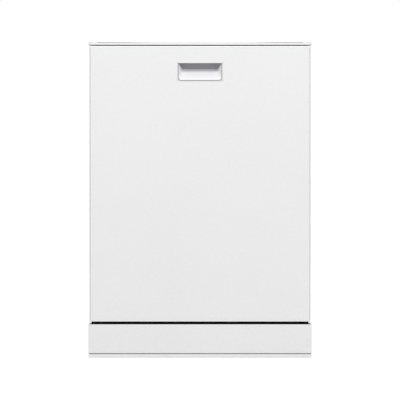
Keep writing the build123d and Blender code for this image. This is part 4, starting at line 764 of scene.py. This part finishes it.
# Gasket: a hollow bulb with a lip, swept round the tub's mouth
gasket_low, gasket_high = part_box("tub_gasket")
gasket_in = 0.0015  # how far the gasket's inner edge is outside the tub's mouth
mouth_x, mouth_z, mouth_r = 0.2725 + gasket_in, 0.800 + gasket_in, 0.025 + gasket_in
mouth_mid_z = (gasket_low.z + mouth_z) / 2
corner_steps = 10
route = [(-mouth_x, gasket_low.z), (-mouth_x, mouth_mid_z)]
for side, first in ((-1, math.pi), (1, math.pi / 2)):
    for k in range(corner_steps + 1):
        a = first - math.pi / 2 * k / corner_steps
        x = side * (mouth_x - mouth_r) + mouth_r * math.cos(a)
        route.append((x, mouth_z - mouth_r + mouth_r * math.sin(a)))
route += [(mouth_x, mouth_mid_z), (mouth_x, gasket_low.z)]
bulb = [
    (0, 0.0030), (0.0008, 0.0014), (0.0022, 0.0004), (0.0042, 0), (0.0062, 0.0005),
    (0.0074, 0.0018), (0.0078, 0.0032), (0.0094, 0.0038), (0.0094, 0.0050)]
profile = [(out, gasket_low.y + y) for out, y in bulb]
profile = [(0, gasket_high.y)] + profile + [(0.0080, gasket_high.y)]
rings = []
for i, (x, z) in enumerate(route):
    before, after = route[max(i - 1, 0)], route[min(i + 1, len(route) - 1)]
    along = Vector((after[0] - before[0], after[1] - before[1])).normalized()
    rings.append([(x - along.y * out, y, z + along.x * out) for out, y in profile])
gasket = Shape()
gasket.loft(rings)
gasket.piece("gasket_bulb", "cabinet", "grey_rubber", ["tub_gasket"], sharp=60)

strip_low, strip_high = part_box("door_lower_seal")
strip_mid_z = (strip_low.z + strip_high.z) / 2
strip_half = (strip_high.z - strip_low.z) / 2
thick = strip_high.y - strip_low.y
section = [(strip_low.y + thick * y, strip_mid_z + strip_half * z) for y, z in (
    (0, -1), (0.35, -1), (0.5, -0.75), (0.95, -0.5), (1, -0.1), (0.95, 0.35), (0.5, 0.6),
    (0.35, 1), (0, 1))]
strip = Shape()
sweep_x(strip, section, strip_low.x, strip_high.x, 9)
strip.piece("lower_seal_lip", "door", "grey_rubber", ["door_lower_seal"], sharp=60)


# Hoses in the base, on smooth splines through the route's corners
def spline(points):
    """The points of a smooth NURBS line, read from a curve with no bevel."""
    data = bpy.data.curves.new("route", "CURVE")
    data.dimensions = "3D"
    line = data.splines.new("NURBS")
    line.points.add(len(points) - 1)
    for point, place in zip(line.points, points):
        point.co = (*place, 1)
    line.order_u = 3
    line.use_endpoint_u = True
    line.resolution_u = 16
    holder = bpy.data.objects.new("route", data)
    scene.collection.objects.link(holder)
    bpy.context.view_layer.update()
    mesh = bpy.data.meshes.new_from_object(holder)
    made = [v.co.copy() for v in mesh.vertices]
    bpy.data.objects.remove(holder)
    bpy.data.curves.remove(data)
    bpy.data.meshes.remove(mesh)
    return made


def even(path, step):
    """The same line with points a step apart."""
    total = sum((b - a).length for a, b in zip(path, path[1:]))
    count = max(2, int(total / step))
    made = [path[0]]
    gap = total / count
    left = gap
    for a, b in zip(path, path[1:]):
        length = (b - a).length
        while length and left <= length:
            a = a + (b - a).normalized() * left
            made.append(a.copy())
            length = (b - a).length
            left = gap
        left -= length
    if (made[-1] - path[-1]).length > gap / 3:
        made.append(path[-1])
    return made


def ribbed(run):
    """The drain hose's radius at a distance along it."""
    mean_r, rib_h, rib_pitch, valley = 0.0084, 0.0010, 0.0066, -0.4
    return mean_r + rib_h * max(valley, math.sin(run * 2 * math.pi / rib_pitch))


hoses = Shape()
pump_y, pump_z, pipe_y = 0.2223, 0.082, 0.252
outlet = even(spline([
    (0, pump_y, pump_z), (0, pipe_y - 0.010, pump_z), (0, pipe_y, pump_z + 0.004),
    (0, pipe_y, pump_z + 0.016), (0, pipe_y, 0.1257)]), 0.002)
tube(hoses, outlet, 0.010, 20)
drain_in_x, drain_out_x, drain_out_y, drain_z = -0.1645, -0.120, 0.2837, 0.062
drain = even(spline([
    (drain_in_x, 0.034, drain_z), (drain_in_x, 0.11, drain_z), (drain_in_x, 0.1792, drain_z),
    (drain_out_x, 0.2237, drain_z), (drain_out_x, 0.255, drain_z),
    (drain_out_x, drain_out_y, drain_z)]), 0.0011)
tube(hoses, drain, None, 18, profile=ribbed)
lathe(hoses, (drain_out_x, drain_out_y - 0.004, drain_z), (0, 1, 0), [
    (0, 0), (0, 0.0094), (0.012, 0.0094), (0.0135, 0.0088), (0.0150, 0.0094), (0.0165, 0.0088),
    (0.0185, 0.0094), (0.0195, 0.0082), (0.0200, 0.0074), (0.0198, 0.0064), (0.0080, 0.0062),
    (0.0080, 0)])
for place, axis in (((0, pump_y + 0.004, pump_z), (0, 1, 0)), ((0, pipe_y, 0.117), (0, 0, 1))):
    lathe(hoses, place, axis, [(0, 0.0098), (0, 0.0112), (0.0035, 0.0112), (0.0035, 0.0098)], 24)
hoses.piece("base_hoses", "cabinet", "hose_rubber", ["pump_hoses"], sharp=45)

# Door springs: wound coils with a hook at each end
springs = Shape()
coil_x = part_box("door_springs")[1].x - 0.005
coil_front, coil_back, coil_z, coil_r = -0.130, 0.050, 0.060, 0.004
hook_w = 0.006  # from the wound part to a coil's end
turns, per_turn, coil_wire_r = 52, 12, 0.0009
for side in (-1, 1):
    x = side * coil_x
    start_y, end_y = coil_front + hook_w, coil_back - hook_w
    coil = []
    for k in range(turns * per_turn + 1):
        a = 2 * math.pi * k / per_turn
        y = start_y + (end_y - start_y) * k / (turns * per_turn)
        coil.append(Vector((x + coil_r * math.cos(a), y, coil_z + coil_r * math.sin(a))))
    tube(springs, coil, coil_wire_r, 6)
    for hook in (
            [(x + coil_r, end_y, coil_z), (x, coil_back - 0.003, coil_z),
             (x, coil_back, coil_z + 0.003), (x, coil_back - 0.001, coil_z - coil_r)],
            [(x + coil_r, start_y, coil_z), (x, coil_front + 0.002, coil_z),
             (x, coil_front - 0.003, coil_z)]):
        tube(springs, bent(hook, 0.002, 3), coil_wire_r, 6)
springs.piece("spring_coils", "cabinet", "spring_steel", ["door_springs"])

# Each spring's rope, straight to the tail of the hinge arm. Its last ring is mitred by half of what
# the tail turns against the rope, so that it keeps its width.
ropes = Shape()
eyes = Shape()
rope_r, eye_r = 0.0012, 0.0022
mitre = math.tan(math.radians(52))
rope_end_y, rope_end_z = -0.2435, 0.1095
aside = Vector((1, 0, 0))
ball = [math.radians(a) for a in (180, 160, 135, 110, 90, 70, 45, 20, 0)]
for side in (-1, 1):
    x = side * coil_x
    start, end = Vector((x, coil_front - 0.001, coil_z)), Vector((x, rope_end_y, rope_end_z))
    along = (end - start).normalized()
    across = Vector((0, -along.z, along.y))
    ropes.loft([circle(start, aside, across, rope_r, 10),
                circle(end, aside, across + mitre * along, rope_r, 10)])
    lathe(eyes, end, aside, [(eye_r * math.cos(a), eye_r * math.sin(a)) for a in ball], 16)
eyes.piece("rope_eyes", "door", "spring_steel")
rope_obj = ropes.piece("spring_ropes", None, "spring_steel", look_names=["black_plastic"])
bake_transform(rope_obj)

# Feed tube under the upper rack: rounded, with a funnel at the dock
feed_half_w, feed_low_z, feed_high_z = 0.013, 0.4487, 0.4697
feed_front_y, feed_back_y, dock_z = -0.004, 0.2275, 0.4557
feed = Shape()
rounded_box(
    feed, (-feed_half_w, feed_front_y, feed_low_z), (feed_half_w, feed_back_y, feed_high_z),
    0.0075, axis=1, steps=5)
lathe(feed, (0, feed_back_y - 0.001, dock_z), (0, 1, 0), [
    (0, 0), (0, 0.0115), (0.0035, 0.014), (0.0115, 0.014), (0.0115, 0.0105), (0.003, 0.009),
    (0.003, 0)], 32)
lathe(feed, (0, hub_y, feed_low_z + 0.001), (0, 0, -1), [
    (0, 0), (0, 0.0088), (0.0195, 0.0088), (0.0200, 0.0085), (0.0200, 0)])
lathe(feed, (0, hub_y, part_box("rack_feed_tube")[0].z), (0, 0, 1), [
    (0, 0), (0, 0.013), (0.0008, 0.0138), (0.0036, 0.0138), (0.0042, 0.012), (0.0042, 0)], 8)
feed.piece("feed_tube_rounded", "upper_rack", "grey_plastic", ["rack_feed_tube"])

# Cutlery basket: lattice walls on a closed foot, and a divider that carries the handle
basket_low, basket_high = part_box("cutlery_basket")
foot_z, top_z = basket_low.z, basket_high.z - 0.026
basket_mid = (basket_low + basket_high) / 2
basket_w, basket_d = basket_high.x - basket_low.x, basket_high.y - basket_low.y
basket_corner = 0.008
basket = Shape()


def basket_path(inset):
    corner = basket_corner - inset
    outline = rounded_rectangle(basket_w - 2 * inset, basket_d - 2 * inset, corner, corner, 4)
    return [Vector((basket_mid.x + x, basket_mid.y + y, 0)) for x, y in outline]


def raised(points, z):
    return [point + Vector((0, 0, z)) for point in points]


foot_h = 0.012
belts = ((0.044, 0.047), (0.077, 0.080))
for z0, z1, thick in (
        (foot_z, foot_z + foot_h, 0.0024),
        *((foot_z + z0, foot_z + z1, 0.0022) for z0, z1 in belts),
        (top_z - 0.006, top_z, 0.0034)):
    outer, inner = basket_path(0), basket_path(thick)
    basket.loft([raised(outer, z0), raised(outer, z1), raised(inner, z1), raised(inner, z0)],
                closed=True)
post_half_w, post_half_t, post_pitch = 0.0015, 0.001, 0.0066
wall = basket_path(0.0011)
wall = even(wall + [wall[0]], post_pitch)
for i, point in enumerate(wall[:-1]):
    along = (wall[i + 1] - wall[i - 1 if i else -2]).normalized()
    across = Vector((-along.y, along.x, 0))
    foot = [point + along * a * post_half_w + across * b * post_half_t for a, b in (
        (-1, -1), (1, -1), (1, 1), (-1, 1))]
    basket.loft([raised(foot, foot_z + 0.011), raised(foot, top_z - 0.005)])
inside = 0.002
x0, x1 = basket_low.x + inside, basket_high.x - inside
y0, y1 = basket_low.y + inside, basket_high.y - inside
for x in spread(basket_low.x + 0.008, basket_high.x - 0.008, 10):
    bar(basket, (x - 0.0014, y0, foot_z), (x + 0.0014, y1, foot_z + 0.0022))
for y in spread(basket_low.y + 0.009, basket_high.y - 0.009, 22):
    bar(basket, (x0, y - 0.0014, foot_z + 0.0004), (x1, y + 0.0014, foot_z + 0.0024))
divider_x = basket_mid.x
for y in spread(basket_low.y + 0.008, basket_high.y - 0.008, 27):
    bar(basket, (divider_x - 0.0011, y - 0.0015, foot_z + 0.002),
        (divider_x + 0.0011, y + 0.0015, top_z - 0.003))
rails = [(z0, z1, 0.0012) for z0, z1 in ((0.002, foot_h), *belts)]
for z0, z1, half in rails + [(0.105, 0.112, 0.002)]:
    bar(basket, (divider_x - half, y0, foot_z + z0), (divider_x + half, y1, foot_z + z1))
handle_z, handle_half_d, grip_half_d = basket_high.z - 0.004, 0.036, 0.018
y0, y1 = basket_mid.y - handle_half_d, basket_mid.y + handle_half_d
handle = [(divider_x, y0, top_z - 0.004), (divider_x, y0, handle_z),
          (divider_x, y1, handle_z), (divider_x, y1, top_z - 0.004)]
tube(basket, bent(handle, 0.012, 6), 0.0032, 12)
straight(basket, (divider_x, basket_mid.y - grip_half_d, handle_z),
         (divider_x, basket_mid.y + grip_half_d, handle_z), 0.0038, 14)
basket.piece("basket_lattice", "lower_rack", "light_plastic", ["cutlery_basket"])

# Grips on the racks' front rims
grip_half_w, grip_front_y, grip_rear_y = 0.060, -0.2448, -0.2378
for name, rim_z in (("lower_rack", lower_rim_z), ("upper_rack", upper_rim_z)):
    grip = Shape()
    rounded_box(
        grip, (-grip_half_w, grip_front_y, rim_z - 0.011),
        (grip_half_w, grip_rear_y, rim_z + 0.0040), 0.003, axis=0, steps=4)
    for x in spread(-0.048, 0.048, 17):
        bar(grip, (x - 0.0010, grip_front_y - 0.0005, rim_z - 0.0085),
            (x + 0.0010, grip_front_y + 0.0008, rim_z + 0.0015), 0.0005)
    grip.piece(f"{name}_grip", name, "grey_plastic")

# Detergent cup: gasket, dosing ridges, sight glass, and ribs on the lid
rim_y, cup_floor_y, lid_y = -0.2475, -0.2740, -0.2454
details_y = rim_y - 0.0004
cup_x, cap_x, cup_z = -0.042, 0.052, 0.484
cup_w, cup_h = 0.082, 0.070
gasket = Shape()
rings = []
for y, grow, corner in ((details_y, 0.0010, 0.0085), (rim_y + 0.00022, 0.0012, 0.0086),
                        (rim_y + 0.00022, 0.0046, 0.0100), (details_y, 0.0048, 0.0101)):
    outline = rounded_rectangle(cup_w + grow, cup_h + grow, corner, corner)
    rings.append([(cup_x + x, y, cup_z + z) for x, z in outline])
gasket.loft(rings, closed=True)
gasket.piece("cup_gasket", "door", "grey_rubber")
ridges = Shape()
for i, half in enumerate((0.010, 0.016, 0.022)):
    z = cup_z - 0.024 + 0.012 * i
    bar(ridges, (cup_x - half, cup_floor_y, z - 0.0006),
        (cup_x + half, cup_floor_y + 0.0011, z + 0.0006), 0.0003)
glass_z = cup_z - 0.052
lathe(ridges, (cap_x, details_y, glass_z), (0, 1, 0), [
    (0, 0), (0, 0.0068), (0.0009, 0.0064), (0.0011, 0.0056), (0.0011, 0.0050), (0.0007, 0.0046),
    (0.0007, 0)], 32)
for x, z in ((-0.099, 0.534), (0.079, 0.534), (-0.099, 0.406), (0.079, 0.406)):
    lathe(ridges, (x, details_y, z), (0, 1, 0), [
        (0, 0), (0, 0.0028), (0.0007, 0.0026), (0.0009, 0.0018), (0.0005, 0.0012),
        (0.0005, 0)], 20)
ridges.piece("dispenser_details", "door", "grey_plastic")
glass = Shape()
lathe(glass, (cap_x, rim_y + 0.0001, glass_z), (0, 1, 0), [
    (0, 0), (0, 0.0044), (0.0003, 0.0040), (0.0006, 0.0028), (0.0008, 0.0012), (0.0008, 0)])
glass.piece("sight_glass", "door", "black_plastic")
ribs = Shape()
for i, half in enumerate((0.014, 0.010, 0.006)):
    z = cup_z + 0.016 - 0.006 * i
    bar(ribs, (cup_x - half, lid_y, z - 0.0010), (cup_x + half, lid_y + 0.0007, z + 0.0010), 0.0003)
bar(ribs, (cup_x - 0.0395, lid_y, cup_z - 0.0335),
    (cup_x + 0.0395, lid_y + 0.0005, cup_z - 0.0323), 0.0002)
ribs.piece("lid_ribs", "dispenser_lid", "light_plastic")

# Rinse aid cap: scalloped edge, dished face and a grip bar
cap = Shape()
scallops, scallop_depth, edge_r = 24, 0.0005, 0.0200
face_y = -0.2452
cap_profile = [
    (face_y - 0.0080, 0), (face_y - 0.0080, 0.0165), (face_y - 0.0076, 0.0170),
    (face_y - 0.0020, 0.0170), (face_y - 0.0020, 0.0205), (face_y - 0.0017, 0.0210),
    (face_y, 0.0210), (face_y + 0.0004, 0.0207), (face_y + 0.0005, 0.0198),
    (face_y + 0.0003, 0.0185), (face_y, 0.0180), (face_y, 0)]
rings = []
for y, r in cap_profile:
    ring = []
    for k in range(4 * scallops):
        a = 2 * math.pi * k / (4 * scallops)
        in_scallop = k // 2 % 2 and r > edge_r
        edge = max(r - scallop_depth if in_scallop else r, least_r)
        ring.append((cap_x + edge * math.cos(a), y, cup_z + edge * math.sin(a)))
    rings.append(ring)
cap.loft(rings)
rounded_box(cap, (cap_x - 0.0170, face_y - 0.0004, cup_z - 0.003),
            (cap_x + 0.0170, face_y + 0.0018, cup_z + 0.003), 0.0009, axis=0)
for side in (-1, 1):
    lathe(cap, (cap_x, face_y - 0.0002, cup_z + side * 0.0105), (0, 1, 0), [
        (0, 0), (0, 0.0016), (0.0004, 0.0014), (0.0005, 0)], 16)
cap.piece("rinse_cap_turned", "rinse_aid_cap", "blue_plastic", ["rinse_aid_cap"], sharp=28)

# Lenses beside the first button
lens_y, control_top_z = -0.279, 0.8389
lenses = Shape()
for x in (-0.205, -0.194, -0.183):
    lathe(lenses, (x, lens_y, control_top_z), (0, 0, 1), [
        (0, 0), (0, 0.0016), (0.0005, 0.0015), (0.0007, 0.0008), (0.0007, 0)], 18)
lenses.piece("indicator_lenses", "door", "grey_plastic")

# Inlet valve: body, coil with its tabs, and a threaded stub with a strainer in its mouth
valve_low, valve_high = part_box("inlet_valve")
valve_x, stub_y, stub_z = (valve_low.x + valve_high.x) / 2, valve_high.y - 0.017, 0.052
body_top_z, flange_top_z = 0.070, 0.068
valve = Shape()
rounded_box(valve, (valve_low.x + 0.003, valve_low.y, valve_low.z),
            (valve_high.x - 0.003, stub_y - 0.003, body_top_z), 0.004)
rounded_box(valve, (valve_low.x, stub_y - 0.004, valve_low.z + 0.004),
            (valve_high.x, stub_y, flange_top_z), 0.003, axis=1)
thread_start, thread_length, thread_step = 0.0022, 0.0135, 0.00045
root_r, thread_h = 0.01265, 0.00055
thread_rings = int(thread_length / thread_step)
thread = [(0, 0), (0, 0.0131)]
for k in range(thread_rings):
    on_crest = k % 4 in (1, 2)
    thread.append((thread_start + thread_length * k / thread_rings, root_r + thread_h * on_crest))
thread += [(0.0162, 0.0126), (0.0170, 0.0119), (0.0170, 0.0104), (0.0168, 0.0100),
           (0.0085, 0.0098), (0.0085, 0)]
lathe(valve, (valve_x, stub_y - 0.0002, stub_z), (0, 1, 0), thread, 36)
lathe(valve, (valve_x, stub_y + 0.0080, stub_z), (0, 1, 0), [
    (0, 0), (0, 0.0097), (0.0012, 0.0097), (0.0012, 0.0070), (0.0018, 0.0066),
    (0.0018, 0)], material=1)
bar(valve, (valve_x - 0.0014, stub_y + 0.0092, stub_z - 0.0004),
    (valve_x + 0.0014, stub_y + 0.0125, stub_z + 0.0004), 0.0003)
coil_mid_y = stub_y - 0.020
lathe(valve, (valve_x, coil_mid_y, body_top_z), (0, 0, 1), [
    (0, 0), (0, 0.0130), (0.0012, 0.0140), (0.0240, 0.0140), (0.0252, 0.0130), (0.0252, 0.0050),
    (0.0260, 0.0046), (0.0260, 0)], 32, material=2)
for x in (valve_x - 0.006, valve_x + 0.006):
    bar(valve, (x - 0.0031, coil_mid_y - 0.0176, body_top_z + 0.0072),
        (x + 0.0031, coil_mid_y - 0.0130, body_top_z + 0.0080), 0.0003, material=3)
valve.piece(
    "inlet_valve_turned", "cabinet", "light_plastic", ["inlet_valve"],
    look_names=["light_plastic", "fine_mesh", "black_plastic", "spring_steel"])

# A lip under the kick plate in dark rubber, whose dark stands for the shadow line under the plate's
# lower edge: painted shade
kick_low, kick_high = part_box("kick_plate")
skirt_low, skirt_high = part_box("plinth_skirt")
section = [
    (skirt_low.y, kick_low.z + 0.0004), (kick_low.y + 0.0010, kick_low.z + 0.0004),
    (kick_low.y + 0.0004, kick_low.z - 0.0003), (kick_low.y + 0.0006, kick_low.z - 0.0015),
    (kick_low.y + 0.0012, kick_low.z - 0.0020), (skirt_low.y, kick_low.z - 0.0020)]
lip = Shape()
sweep_x(lip, section, kick_low.x + 0.001, kick_high.x - 0.001, 13)
lip.piece("kick_lip_painted_shade", "cabinet", "grey_rubber", sharp=50)

# End caps of the skirt, nearly in line with the kick plate's ends
skirt_cap_x = 0.2996
ends = Shape()
for side in (-1, 1):
    x0, x1 = sorted((side * (skirt_high.x - 0.0004), side * skirt_cap_x))
    low = (x0, skirt_low.y + 0.0002, skirt_low.z + 0.0004)
    rounded_box(ends, low, (x1, skirt_low.y + 0.0060, kick_low.z - 0.0022), 0.0005)
ends.piece("skirt_end_caps", "cabinet", "white_plastic")

# Screws in the back cover's edges and the door liner's, five on each side
cover_low, cover_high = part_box("back_cover")
screw_h, screw_sunk = 0.0012, 0.0004
for name, body, x, y, z0, z1, r in (
        ("cover_screws", "cabinet", 0.289, 0.2975, cover_low.z + 0.03, cover_high.z - 0.04, 0.0036),
        ("liner_screws", "door", 0.279, -0.261, 0.24, 0.79, 0.0032)):
    screws = Shape()
    for side in (-1, 1):
        for z in spread(z0, z1, 5):
            lathe(screws, (side * x, y - screw_sunk, z), (0, 1, 0), [
                (0, 0), (0, r), (screw_h * 0.45, r), (screw_h * 0.9, r * 0.72),
                (screw_h, r * 0.45), (screw_h, 0)], 16)
    screws.piece(name, body, "spring_steel")

# Floor, seen white by the camera and shaded by the object
floor_r = 40
floor_shape = bmesh.new()
bmesh.ops.create_circle(floor_shape, cap_ends=True, segments=64, radius=floor_r)
floor_mesh = bpy.data.meshes.new("floor")
floor_shape.to_mesh(floor_mesh)
floor_shape.free()
floor = bpy.data.objects.new("floor", floor_mesh)
scene.collection.objects.link(floor)
floor_look, floor_tree = new_tree("floor")
floor_mesh.materials.append(floor_look)
shaded = add_node(floor_tree, "BsdfDiffuse", Color=(0.22, 0.22, 0.22, 1))
glow = add_node(floor_tree, "Emission", Strength=0.87)
surface_by_ray(
    floor_tree, "OutputMaterial",
    plain=add_node(floor_tree, "BsdfDiffuse", Color=(0.75, 0.75, 0.75, 1)),
    seen=add_node(floor_tree, "AddShader", shaded.outputs[0], glow.outputs[0]))
